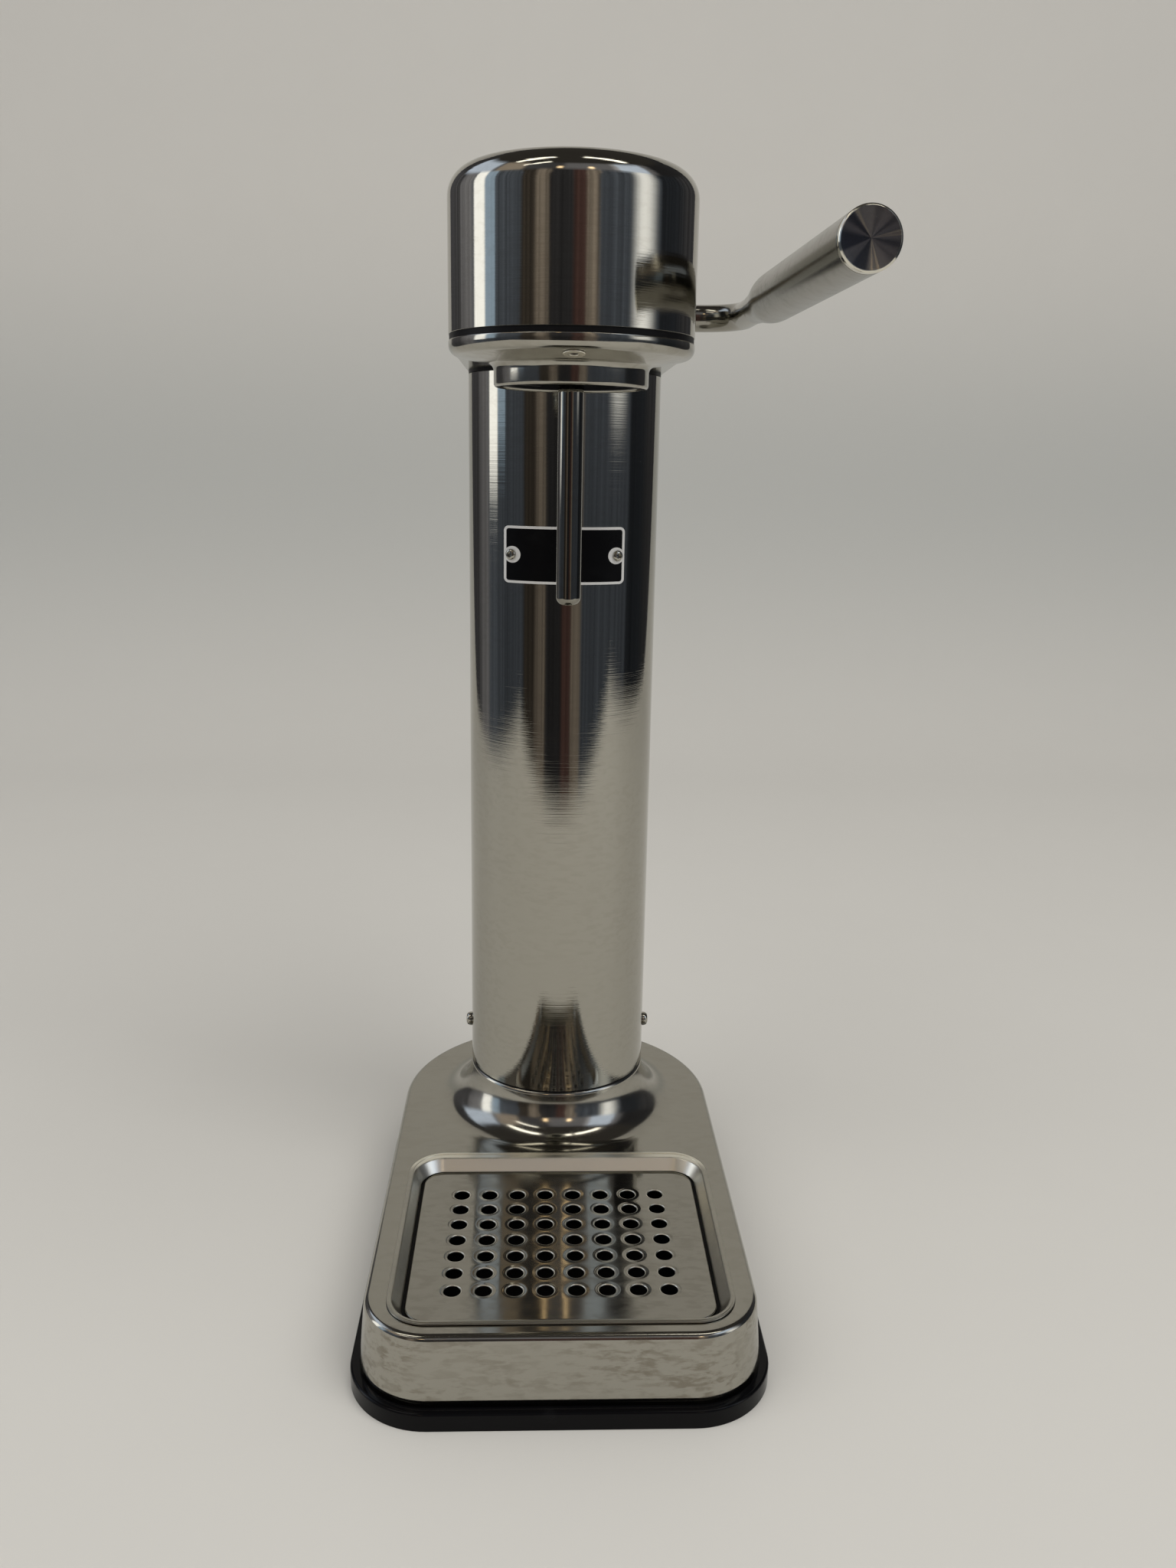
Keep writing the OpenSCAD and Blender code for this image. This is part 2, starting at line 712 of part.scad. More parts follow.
// Rounded upright rectangle that cuts a curved skin out of a ring round the column
module badge_window(inset, notch) {
  translate([0, 0, badge_z]) rotate([90, 0, 0]) linear_extrude(column_r + 5) difference() {
    for (x = [-1, 1], y = [-1, 1]) union() {
      r = max(badge_corner_r - inset, 0.5);
      w = badge_w / 2 - inset;
      h = badge_h / 2 - inset;
      translate([x * (w - r), y * (h - r)]) circle(r = r);
      square([2 * (w - r), 2 * h], center = true);
      square([2 * w, 2 * (h - r)], center = true);
    }
    if (notch > 0) for (x = [-1, 1]) translate([x * badge_screw_x, 0]) circle(r = notch);
  }
}

module badge_plate() {
  color(steel) difference() {
    intersection() {
      ring(column_r + badge_t, column_r + run_c, badge_z - badge_h, badge_z + badge_h);
      badge_window(0, 0);
    }
    intersection() {
      ring(column_r + badge_t + 1, column_r + badge_t - field_t, badge_z - badge_h, badge_z + badge_h);
      badge_window(badge_border, notch_r);
    }
    badge_screw_holes();
  }
}

module badge_field() {
  color(dark) intersection() {
    ring(column_r + badge_t - eps, column_r + badge_t - field_t, badge_z - badge_h, badge_z + badge_h);
    badge_window(badge_border + eps, notch_r + eps);
  }
}

module badge_screws() {
  color(steel) for (s = [-1, 1]) rotate(s * badge_screw_turn)
    translate([0, -column_r - badge_t, badge_z]) rotate([90, 0, 0])
      button_screw(badge_screw_r, badge_screw_h, badge_shank_r, badge_screw_len);
}

// Holes for the screws that hold the head's frame, and for those of the nozzle's block
module frame_screw_holes(z, h) {
  for (p = frame_screw_places) translate([p[0], p[1], z]) cylinder(r = small_hole_r, h = h);
}
module block_screw_holes(z, h) {
  for (a = [45:90:315]) rotate(a) translate([block_screw_ring, 0, z]) cylinder(r = small_hole_r, h = h);
}

module head_dish() {
  color(steel) difference() {
    union() {
      head_block(column_r, straight_wall(dish_z0, dish_z1));
      at_nozzle() rotate_extrude() polygon(concat(
        [[0, dish_z1], [column_r, dish_z1]],
        arc(column_r - dish_edge_r, dish_z0, dish_edge_r, 0, dish_slope - 90),
        arc(collar_r + collar_fillet, fillet_z, collar_fillet, 90 + dish_slope, 180),
        arc(collar_r - collar_edge_r, collar_z0 + collar_edge_r, collar_edge_r, 0, -90),
        [[0, collar_z0]]
      ));
    }
    at_nozzle() {
      rotate_extrude() polygon(concat(
        [[0, dish_z1 + 1], [0, dish_floor], [floor_r, dish_floor]],
        arc(column_r - dish_edge_r, dish_z0, dish_edge_r - dish_t, dish_slope - 90, 0),
        [[column_r - dish_t, dish_z1 + 1]]
      ));
      translate([0, 0, collar_z0 - 1]) cylinder(r = collar_in_r, h = collar_h + 1);
      block_screw_holes(dish_floor - blind_t, dish_t);
    }
    translate([0, 0, dish_z0 - 1]) cylinder(r = opening_r, h = dish_t + 2);
    at_vent() translate([0, 0, -1]) cylinder(r = vent_r - 1 + fit_c, h = dish_t + 2);
    frame_screw_holes(dish_z0 + dish_t - blind_t, dish_t);
  }
}

module head_gasket() {
  color(rubber) difference() {
    head_block(gasket_out, straight_wall(dish_z1, cap_z0));
    head_block(gasket_in, straight_wall(dish_z1 - 1, cap_z0 + 1));
  }
}

module head_cap() {
  color(steel) difference() {
    head_block(column_r, round_top(cap_z0, cap_z1, 0, cap_edge_r));
    head_block(head_in_r, round_top(cap_z0 - 1, cap_z1 - cap_t, 0, cap_edge_r - cap_t));
    translate([0, pivot_y, pivot_z]) along_x(rod_r + seal_w + fit_c, bush_x1, column_r + 5);
    translate([0, 0, cap_screw_z]) forward(cap_screw_r + fit_c, column_r + 2, column_r - 3);
  }
}

module cap_screw() {
  color(steel) translate([0, column_r, cap_screw_z]) rotate([-90, 0, 0])
    button_screw(cap_screw_head_r, cap_screw_head_h, cap_screw_r, cap_screw_len);
}

module head_frame() {
  color(alloy) difference() {
    union() {
      head_block(frame_r, straight_wall(frame_z0, frame_z1));
      ring(spigot_r, sleeve_r + fit_c, spigot_z0, frame_z0 + 1);
      ring(spigot_r, sleeve_r - 3, sleeve_z1, frame_z0 + 1);
      for (x = [-bush_x1, bush_x0]) translate([x, pivot_y - post_half_l, frame_z1 - 1])
        cube([bush_x1 - bush_x0, 2 * post_half_l, pivot_up + post_half_l + 1]);
      translate([-lug_half_w, frame_r - lug_l - 0.5, frame_z1 - 1])
        cube([2 * lug_half_w, lug_l, cap_screw_z - frame_z1 + lug_half_w + 1]);
    }
    translate([0, 0, frame_z0 - 1]) cylinder(r = socket_r + fit_c, h = frame_t + 2);
    at_nozzle() {
      translate([0, 0, frame_z0 - 1]) cylinder(r = boss_r + fit_c, h = frame_t + 2);
      block_screw_holes(frame_z0 - 1, frame_t + 2);
    }
    frame_screw_holes(frame_z0 - 1, frame_t + 2);
    translate([0, pivot_y, pivot_z]) along_x(rod_r + run_c + bush_t, -shaft_end, shaft_end);
    translate([0, 0, cap_screw_z]) forward(cap_screw_r + fit_c, column_r, frame_r - lug_l - 1);
  }
}

module frame_screws() {
  color(steel) for (p = frame_screw_places) translate([p[0], p[1], frame_z1])
    screw(2 * small_shank_r, small_head_h, small_shank_r, frame_t + blind_t - 2 * fit_c);
}

module vent_ring() {
  color(steel) at_vent() union() {
    ring(vent_r, vent_hole_r, -vent_rise, 0);
    ring(vent_r - 1, vent_hole_r, -vent_rise / 2, dish_t);
  }
}

module collar_insert() {
  color(dark) at_nozzle() union() {
    ring(insert_r, insert_in_r, insert_z0, block_z0);
    for (a = [0:120:240]) rotate(a) translate([0, 0, insert_z0 + 1])
      rotate_extrude(angle = 40) translate([insert_in_r - lug_h, 0]) square([lug_h + 0.5, 1.6]);
  }
}

module bottle_seal() {
  color(rubber) at_nozzle() ring(insert_in_r - fit_c, seal_hole_r, block_z0 - seal_t, block_z0);
}

module nozzle_block() {
  color(dark) difference() {
    union() {
      at_nozzle() {
        ring(collar_in_r - fit_c, 0, block_z0, dish_floor + 1);
        ring(flange_r, 0, dish_floor, frame_z0);
        ring(boss_r, 0, frame_z0 - 1, boss_z1);
      }
      translate([0, 0, hose_z]) forward(hose_r, hose_y1, -reach);
    }
    at_nozzle() {
      translate([0, 0, block_z0 - 1]) cylinder(r = nozzle_r + run_c, h = boss_z1);
      for (x = [-valve_x, valve_x]) translate([x, 0, block_z0 - 1]) cylinder(r = stem_r, h = boss_z1);
      block_screw_holes(block_z0 - 1, frame_z0 - block_z0 + 2);
    }
  }
}

module block_screws() {
  color(steel) at_nozzle() for (a = [45:90:315]) rotate(a) translate([block_screw_ring, 0, frame_z1])
    screw(2 * small_shank_r, small_head_h, small_shank_r, frame_z1 - dish_floor + blind_t - fit_c);
}

module nozzle_tube() {
  color(steel) at_nozzle() rotate_extrude() polygon(concat(
    [[spray_hole_r, nozzle_tip_z]],
    arc(nozzle_r - tip_round, nozzle_tip_z + tip_round, tip_round, -90, 0),
    [[nozzle_r, nozzle_z1], [nozzle_bore_r, nozzle_z1], [nozzle_bore_r, nozzle_tip_z + 3]],
    [[spray_hole_r, nozzle_tip_z + 1.6]]
  ));
}

module nozzle_nut() {
  color(brass) at_nozzle() translate([0, 0, boss_z1]) difference() {
    cylinder(r = nozzle_nut_r, h = nozzle_nut_t, $fn = 6);
    translate([0, 0, -1]) cylinder(r = nozzle_r + run_c, h = nozzle_nut_t + 2);
  }
}

// A spring-loaded valve on the block: body, poppet, spring and cap, shared by both valves
module valve_body(x) {
  at_nozzle() translate([x, 0, 0]) difference() {
    ring(valve_r, valve_bore, boss_z1, boss_z1 + valve_h);
    ring(stem_r, 0, boss_z1 - 1, boss_z1 + 1);
  }
  at_nozzle() translate([x, 0, 0]) ring(valve_bore + 0.5, stem_r, boss_z1, poppet_z);
}
module valve_poppet(x) {
  at_nozzle() translate([x, 0, 0]) union() {
    ring(valve_bore - run_c, 0, poppet_z, poppet_z + poppet_h);
    ring(stem_r, 0, poppet_z + poppet_h - 1, boss_z1 + valve_h + valve_cap_t + 1);
  }
}
module valve_spring(x) {
  at_nozzle() translate([x, 0, 0])
    coil_spring(2.2, 0.5, poppet_z + poppet_h, boss_z1 + valve_h, 5);
}
module valve_cap(x) {
  at_nozzle() translate([x, 0, 0])
    ring(valve_r, stem_r + run_c, boss_z1 + valve_h, boss_z1 + valve_h + valve_cap_t);
}

module safety_valve() { color(brass) valve_body(valve_x); }
module safety_poppet() { color(steel) valve_poppet(valve_x); }
module safety_spring() { color(steel) valve_spring(valve_x); }
module safety_cap() { color(brass) valve_cap(valve_x); }
module relief_valve() { color(brass) valve_body(-valve_x); }
module relief_poppet() { color(steel) valve_poppet(-valve_x); }
module relief_spring() { color(steel) valve_spring(-valve_x); }
module relief_cap() { color(brass) valve_cap(-valve_x); }

// The hose runs straight out of each nut and swings out once in between
function hose_point(t) = [
  hose_swing * (1 - cos(360 * t)) / 2, hose_y0 - hose_end + t * (hose_y1 - hose_y0 + 2 * hose_end), hose_z
];
module gas_hose() {
  color(rubber) tube(
    concat([[0, hose_y0, hose_z]], [for (i = [0:20]) hose_point(i / 20)], [[0, hose_y1, hose_z]]),
    hose_r, 12, [0, 0, 1]
  );
}

module hose_nuts() {
  color(brass) for (y = [hose_y0, hose_y1]) translate([0, y + hose_nut_len / 2, hose_z])
    rotate([90, 0, 0]) difference() {
      cylinder(r = hose_nut_r, h = hose_nut_len, $fn = 6);
      translate([0, 0, -1]) cylinder(r = hose_r + fit_c, h = hose_nut_len + 2);
    }
}

module gas_socket() {
  color(brass) difference() {
    union() {
      ring(socket_r, 0, socket_z0, socket_z1);
      ring(socket_r + flange_t, 0, flange_low_z, frame_z0);
      translate([0, 0, hose_z]) forward(hose_r, 0, hose_y0);
    }
    translate([0, 0, socket_z0 - 1]) cylinder(r = thread_r, h = thread_len + 1);
    translate([0, 0, chamber_z1 - eps]) cylinder(r = seat_r, h = seat_t);
    translate([0, 0, chamber_z1]) cylinder(r = pin_r + run_c, h = socket_z1);
    translate([0, 0, spring_seat_z]) cylinder(r = counter_r, h = socket_z1);
  }
}

module socket_nut() {
  color(brass) translate([0, 0, frame_z1]) difference() {
    cylinder(r = socket_nut_r, h = socket_nut_t, $fn = 6);
    translate([0, 0, -1]) cylinder(r = socket_r + run_c, h = socket_nut_t + 2);
  }
}

module socket_seal() {
  color(rubber) ring(seat_r - fit_c, pin_r + loose_c, chamber_z1, chamber_z1 + seat_t - 2 * eps);
}

module push_pin() {
  color(steel) union() {
    ring(pin_r, 0, pin_tip_z, pin_top_z - pin_head_h + 1);
    ring(pin_head_r, 0, pin_top_z - pin_head_h, pin_top_z);
    ring(pin_head_r + pin_rim, 0, pin_top_z - pin_head_h, pin_top_z - pin_head_h + 1);
  }
}

module pin_spring() {
  color(steel) coil_spring(pin_r + 1.8, 0.9, spring_seat_z, pin_top_z - pin_head_h, 6);
}

// Places things on the lever's turning axis, and on the grip's axis with +Z towards its end
module at_pivot() {
  translate([0, pivot_y, pivot_z]) children();
}
module on_grip() {
  at_pivot() translate([rod_bend_x + bend_r * cos(splay), bend_r * sin(splay) - bend_r, 0])
    rotate([90, 0, splay]) children();
}

module lever_bushes() {
  color(brass) at_pivot() for (x = [-bush_x1, bush_x0]) difference() {
    along_x(rod_r + run_c + bush_t, x, x + bush_x1 - bush_x0);
    along_x(rod_r + run_c, x - 1, x + bush_x1 - bush_x0 + 1);
  }
}

module shaft_seal() {
  color(rubber) at_pivot() difference() {
    along_x(rod_r + seal_w, seal_x - seal_in, seal_x + seal_out);
    along_x(rod_r + run_c, seal_x - seal_in - 1, seal_x + seal_out + 1);
  }
}

module lever_rod() {
  color(steel) {
    at_pivot() difference() {
      along_x(rod_r, -shaft_end, rod_bend_x + bend_sink);
      for (x = [-clip_x - clip_t, clip_x]) difference() {
        along_x(rod_r + 1, x - run_c, x + clip_t + run_c);
        along_x(rod_r - groove_h, x - 1, x + clip_t + 1);
      }
    }
    at_pivot() translate([rod_bend_x, -bend_r, 0])
      rotate(splay) rotate_extrude(angle = 90 - splay) translate([bend_r, 0]) circle(r = rod_r + bend_swell);
    on_grip() translate([0, 0, -bend_sink]) cylinder(r = rod_r, h = grip_start + rod_plug + bend_sink);
  }
}

module shaft_clips() {
  color(steel) at_pivot() for (x = [-clip_x - clip_t, clip_x]) difference() {
    along_x(rod_r + 1.2, x, x + clip_t);
    along_x(rod_r - groove_h + run_c, x - 1, x + clip_t + 1);
  }
}

module lever_cam() {
  color(alloy) at_pivot() difference() {
    union() {
      along_x(cam_hub_r, -cam_half_w, cam_half_w);
      translate([0, -pivot_y, 0]) along_x(cam_nose_r, -cam_half_w, cam_half_w);
      translate([-cam_half_w, -pivot_y, -cam_nose_r]) cube([2 * cam_half_w, pivot_y, 2 * cam_nose_r]);
    }
    along_x(rod_r + run_c, -cam_half_w - 1, cam_half_w + 1);
    cylinder(r = cam_screw_r, h = cam_hub_r + 1);
  }
}

module cam_screw() {
  color(dark) at_pivot() translate([0, 0, rod_r]) cylinder(r = cam_screw_r - run_c, h = cam_hub_r - rod_r);
}

module lever_spring() {
  color(steel) at_pivot() translate([0.3 - bush_x0, 0, 0]) rotate([0, 90, 0])
    coil_spring(rod_r + 1.1, 1.2, 0, bush_x0 - cam_half_w - 0.6, 7);
}

module lever_grip() {
  color(steel) on_grip() difference() {
    rotate_extrude() polygon(concat(
      [[0, grip_start]],
      [for (i = [0:12]) let (t = i / 12)
        [grip_neck_r + (grip_r - grip_neck_r) * (1 - cos(180 * t)) / 2, grip_start + grip_flare * t]],
      [[grip_r, grip_end], [0, grip_end]]
    ));
    translate([0, 0, grip_start - 1]) cylinder(r = rod_r + fit_c, h = rod_plug + 1 + fit_c);
    translate([0, 0, grip_start + grip_flare + 2]) cylinder(r = grip_r - grip_wall, h = grip_len);
  }
}

module grip_cap() {
  color(steel) on_grip() translate([0, 0, grip_end]) rotate_extrude() polygon([
    [0, -4], [grip_r - grip_wall - fit_c, -4], [grip_r - grip_wall - fit_c, 0],
    [grip_r - joint_h, 0], [grip_r - joint_h, joint_h], [grip_r, joint_h],
    [grip_r, grip_cap_t - grip_cap_edge], [grip_r - grip_cap_edge, grip_cap_t], [0, grip_cap_t]
  ]);
}

foot_plinth();
floor_pads();
base_screws();
base_frame();
base_shell();
shell_studs();
stud_nuts();
drip_tray();
drip_plate();
column_foot_ring();
column_tube();
column_side_screws();
bay_sleeve();
column_head_ring();
column_top_ring();
badge_plate();
badge_field();
badge_screws();
head_dish();
head_gasket();
head_cap();
cap_screw();
head_frame();
frame_screws();
vent_ring();
collar_insert();
bottle_seal();
nozzle_block();
block_screws();
nozzle_tube();
nozzle_nut();
safety_valve();
safety_poppet();
safety_spring();
safety_cap();
relief_valve();
relief_poppet();
relief_spring();
relief_cap();
gas_hose();
hose_nuts();
gas_socket();
socket_nut();
socket_seal();
push_pin();
pin_spring();
lever_bushes();
shaft_seal();
lever_rod();
shaft_clips();
lever_cam();
cam_screw();
lever_spring();
lever_grip();
grip_cap();
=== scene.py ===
"""Lever sparkling water maker in mirror-polished steel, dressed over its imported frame."""

import json
from math import ceil, cos, pi, radians, sin, tan

import bmesh
import bpy
from bpy.props import FloatProperty, FloatVectorProperty, IntProperty, PointerProperty
from bpy.types import Operator, Panel, PropertyGroup
from mathutils import Matrix, Vector

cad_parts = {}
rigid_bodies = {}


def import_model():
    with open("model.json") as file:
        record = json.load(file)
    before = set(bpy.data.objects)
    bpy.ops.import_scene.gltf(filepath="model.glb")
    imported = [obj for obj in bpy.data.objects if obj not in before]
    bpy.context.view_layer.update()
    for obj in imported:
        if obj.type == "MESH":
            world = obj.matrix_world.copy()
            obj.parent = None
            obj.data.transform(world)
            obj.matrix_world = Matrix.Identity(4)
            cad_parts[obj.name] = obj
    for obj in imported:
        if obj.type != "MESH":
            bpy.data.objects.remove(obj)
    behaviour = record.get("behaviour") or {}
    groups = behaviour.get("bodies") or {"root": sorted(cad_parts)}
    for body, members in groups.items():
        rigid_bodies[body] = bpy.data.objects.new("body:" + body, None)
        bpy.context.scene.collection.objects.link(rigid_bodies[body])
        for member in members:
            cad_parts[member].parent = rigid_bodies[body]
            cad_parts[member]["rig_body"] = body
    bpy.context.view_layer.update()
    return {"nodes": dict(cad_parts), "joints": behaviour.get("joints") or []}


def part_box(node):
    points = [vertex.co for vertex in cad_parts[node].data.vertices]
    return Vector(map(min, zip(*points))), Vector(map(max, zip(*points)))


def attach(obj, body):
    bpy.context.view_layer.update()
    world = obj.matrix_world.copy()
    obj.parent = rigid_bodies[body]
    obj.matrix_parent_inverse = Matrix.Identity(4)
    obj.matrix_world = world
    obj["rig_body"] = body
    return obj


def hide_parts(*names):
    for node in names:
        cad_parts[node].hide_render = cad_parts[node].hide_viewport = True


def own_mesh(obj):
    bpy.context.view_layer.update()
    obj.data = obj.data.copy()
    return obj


bl_info = {
    "name": "Lever sparkling water maker",
    "version": (1, 0, 0),
    "blender": (4, 5, 0),
    "location": "View3D > Sidebar > Water maker",
    "description": "Builds a polished steel sparkling water maker over its packed frame",
    "category": "Add Mesh",
}

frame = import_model()
MM = 0.001
# Degrees between the points of an arc
ARC_STEP = 2.5
# Points closer than this are one point
SAME = 0.001 * MM

TUBE_LOW, TUBE_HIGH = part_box("column_tube")
CAP_LOW, CAP_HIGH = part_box("head_cap")
DISH_LOW, DISH_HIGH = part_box("head_dish")
SHELL_LOW, SHELL_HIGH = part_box("base_shell")
TRAY_LOW, TRAY_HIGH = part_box("drip_tray")
PLATE_LOW, PLATE_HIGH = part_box("drip_plate")
NOZZLE_LOW, NOZZLE_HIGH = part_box("nozzle_tube")
LEVER = next(j for j in frame["joints"] if j["name"] == "lever_turn")
PIVOT = Vector(LEVER["pos_m"])

# Tints of the light in the room
COOL = (0.80, 0.92, 1.15)
WARM = (1.0, 0.84, 0.70)
PLAIN = (1.0, 0.99, 1.08)


def dim(colour, level):
    return tuple(c * level for c in colour)


# Shades of the room at the height of the eye, by bearing in degrees, from the front to the right
ROOM_WALLS = (
    (-180, dim(PLAIN, 0.04)), (-126, dim(PLAIN, 0.07)), (-119, dim(PLAIN, 0.18)), (-108, dim(PLAIN, 0.24)),
    (-98, dim(COOL, 0.15)), (-76, dim(COOL, 0.10)), (-50, dim(COOL, 0.10)), (-46, dim(WARM, 0.05)),
    (-36, dim(WARM, 0.05)), (-32, dim(WARM, 0.22)), (-24, dim(WARM, 0.22)), (-20, dim(PLAIN, 0.03)),
    (-3, dim(PLAIN, 0.03)), (1, (0.08, 0.045, 0.04)), (9, (0.08, 0.045, 0.04)), (12, dim(WARM, 0.25)),
    (20, dim(WARM, 0.25)), (24, dim(COOL, 0.09)), (50, dim(COOL, 0.10)), (82, dim(COOL, 0.10)),
    (86, dim(COOL, 0.025)), (104, dim(COOL, 0.03)), (126, dim(PLAIN, 0.045)), (180, dim(PLAIN, 0.04)),
)
# Shades of the room above it, by the same bearing
ROOM_UPPER = (
    (-180, dim(PLAIN, 0.04)), (-132, dim(PLAIN, 0.04)), (-128, dim(COOL, 0.8)), (-90, dim(COOL, 0.8)),
    (-84, dim(PLAIN, 0.15)), (-79, dim(WARM, 0.35)), (-54, dim(WARM, 0.35)), (-48, dim(PLAIN, 0.07)),
    (-14, dim(PLAIN, 0.06)), (-7, dim(PLAIN, 0.17)), (35, dim(PLAIN, 0.17)), (41, dim(PLAIN, 0.4)),
    (46, dim(COOL, 0.85)), (73, dim(COOL, 0.85)), (80, dim(PLAIN, 0.18)), (93, dim(PLAIN, 0.02)),
    (180, dim(PLAIN, 0.03)),
)


def size(name, value, description, low=0.0):
    """A length in metres that shows in the sidebar."""
    return FloatProperty(
        name=name, description=description, default=value, min=low, unit="LENGTH", precision=4
    )


def slant(name, degrees, description):
    """An angle that shows in the sidebar."""
    return FloatProperty(name=name, description=description, default=radians(degrees), subtype="ANGLE")


class MachineSizes(PropertyGroup):
    """Sizes of the visible pieces; those that the frame gives are read from it."""

    column_radius: size("Column radius", TUBE_HIGH.x, "Outer radius of the column and the head's ends")
    reach: size("Reach", -DISH_LOW.y - TUBE_HIGH.x, "Distance from the column's axis to the nozzle's axis")
    sheet: size("Sheet", 0.8 * MM, "Thickness of the polished steel sheet")
    cap_edge: size("Cap edge", 9 * MM, "Radius of the cap's top edge")
    base_front: size("Base front", -SHELL_LOW.y, "Distance from the column's axis to the shell's front")
    base_corner: size("Base corner", 26.6 * MM, "Radius of the shell's front corners")
    base_top: size("Base top", 33.5 * MM, "Height of the shell's flat top")
    base_draft: size("Base draft", 2 * MM, "How far the shell's walls lean in")
    base_edge: size("Base edge", 2.5 * MM, "Radius of the shell's top edge")
    flare: size("Flare", 56.5 * MM, "Radius of the flare where it meets the flat top")
    rim_corner: size("Rim corner", 15 * MM, "Radius of the tray rim's corners")
    well_half_w: size("Well half width", 57.5 * MM, "Half the width of the tray's well")
    well_back: size("Well back", 65.3 * MM, "Distance from the column's axis to the well's back")
    well_front: size("Well front", 165 * MM, "Distance from the column's axis to the well's front")
    well_corner: size("Well corner", 10 * MM, "Radius of the well's corners")
    lip: size("Lip", 3.6 * MM, "Width of the lip that slopes from the rim down into the well")
    lip_slope: slant("Lip slope", 55, "Slope of that lip")
    lip_gap: size("Lip gap", 0.5 * MM, "Gap between that lip and the cut-out in the shell")
    ledge: size("Ledge", 3 * MM, "Width of the ledge that carries the plate")
    plate_corner: size("Plate corner", 8.6 * MM, "Radius of the plate's corners")
    hole: size("Hole radius", 3.15 * MM, "Radius of the plate's holes")
    hole_roll: size("Hole roll", 0.45 * MM, "Radius of the rolled edge round each hole")
    dimple: size("Dimple", 1.35 * MM, "Width of the dimple outside that edge")
    dimple_depth: size("Dimple depth", 0.1 * MM, "Depth of the dimple")
    hole_step_x: size("Hole step across", 11.4 * MM, "Spacing of the holes across the plate")
    hole_step_y: size("Hole step along", 10.4 * MM, "Spacing of the holes along the plate")
    hole_cols: IntProperty(name="Holes across", description="Holes in each row", default=8, min=1)
    hole_rows: IntProperty(name="Rows of holes", description="Rows from back to front", default=7, min=1)
    collar: size("Collar radius", 25.3 * MM, "Outer radius of the bottle collar")
    collar_wall: size("Collar wall", 2.5 * MM, "Wall of the bottle collar")
    collar_fillet: size("Collar fillet", 2.4 * MM, "Radius of the fillet between dish and collar")
    dish_sheet: size("Dish sheet", 1.5 * MM, "Thickness of the dish")
    dish_edge: size("Dish edge", 3.3 * MM, "Radius of the dish's lower edge")
    dish_drop: size("Dish drop", 2.3 * MM, "Depth of the dish's inner floor below its flange")
    dish_opening: size("Dish opening", 36.1 * MM, "Radius of the dish's opening over the column")
    dish_slope: slant("Dish slope", 11, "Slope of the dish's underside, down to the collar")
    vent_hole: size("Vent hole", 1.35 * MM, "Radius of the hole in the dish's vent ring")
    rod: size("Rod radius", 5.4 * MM, "Radius of the lever's rod")
    bend: size("Bend radius", 18 * MM, "Radius of the rod's bend")
    bend_x: size("Bend place", 73.5 * MM, "Distance of the rod's bend from the middle")
    grip: size("Grip radius", 8.9 * MM, "Radius of the grip")
    grip_start: size("Grip start", 24 * MM, "Length of straight rod between the bend and the grip")
    grip_flare: size("Grip flare", 36 * MM, "Length of the flared part of the grip")
    grip_length: size("Grip length", 119.5 * MM, "Length of the straight part of the grip")
    grip_cap: size("Grip cap", 3 * MM, "Thickness of the grip's end cap")
    splay: slant("Splay", 1.6, "Angle by which the grip leans out")


def tone(name, value, description):
    """A linear colour that shows in the sidebar."""
    return FloatVectorProperty(
        name=name, description=description, default=value, size=3, subtype="COLOR", min=0.0, max=1.0
    )


class MachineFinish(PropertyGroup):
    """Colours of the metals, plastics and the stage."""

    steel: tone("Steel", (0.41, 0.396, 0.346), "Polished steel where it is clean")
    stain: tone("Stain", (0.265, 0.24, 0.195), "Dried water on the steel")
    gloss_black: tone("Gloss black", (0.003, 0.003, 0.0035), "Foot and badge field")
    satin_black: tone("Satin black", (0.012, 0.012, 0.013), "Plastic inside the collar and the column")
    rubber: tone("Rubber", (0.006, 0.006, 0.0065), "Gaskets, rings and pads")
    brass: tone("Brass", (0.62, 0.42, 0.16), "Gas fittings")
    alloy: tone("Alloy", (0.46, 0.46, 0.47), "Cast frame inside the head")
    satin_alloy: tone("Satin alloy", (0.74, 0.735, 0.72), "Border of the badge")
    floor: tone("Floor", (0.67, 0.655, 0.62), "Floor and backdrop")
    # Painted shade: a darker band on the backdrop where it curves up, where less light falls
    backdrop_painted_shade: tone("Backdrop painted shade", (0.49, 0.495, 0.475), "Backdrop where it curves up")
    floor_cloud: tone("Floor cloud", (0.5, 0.49, 0.46), "Faint clouds on the floor and backdrop")


def tones():
    return bpy.context.scene.machine_finish


# Depths between which the splashes of the base's front fade out towards the back
SPLASH_FRONT = -175 * MM
SPLASH_BACK = -150 * MM
# Painted shade: the colour of steel in hollows that light hardly reaches, and of what shows in a small hole
PAINTED_RECESS_SHADE = (0.02, 0.019, 0.018)
HOLE_SHADE = (0.004, 0.004, 0.004)
# Distance between the tool marks on the grip's end cap
TOOL_STEP = 0.22 * MM


class Value:
    """A shader socket that does sums, so that maths reads as Python."""

    def __init__(self, tree, socket):
        self.tree = tree
        self.socket = socket

    def __add__(self, other):
        return self.tree.maths("ADD", self, other)

    def __sub__(self, other):
        return self.tree.maths("SUBTRACT", self, other)

    def __rsub__(self, other):
        return self.tree.maths("SUBTRACT", other, self)

    def __mul__(self, other):
        return self.tree.maths("MULTIPLY", self, other)

    def __truediv__(self, other):
        return self.tree.maths("DIVIDE", self, other)

    def __neg__(self):
        return self * -1.0

    __radd__ = __add__
    __rmul__ = __mul__


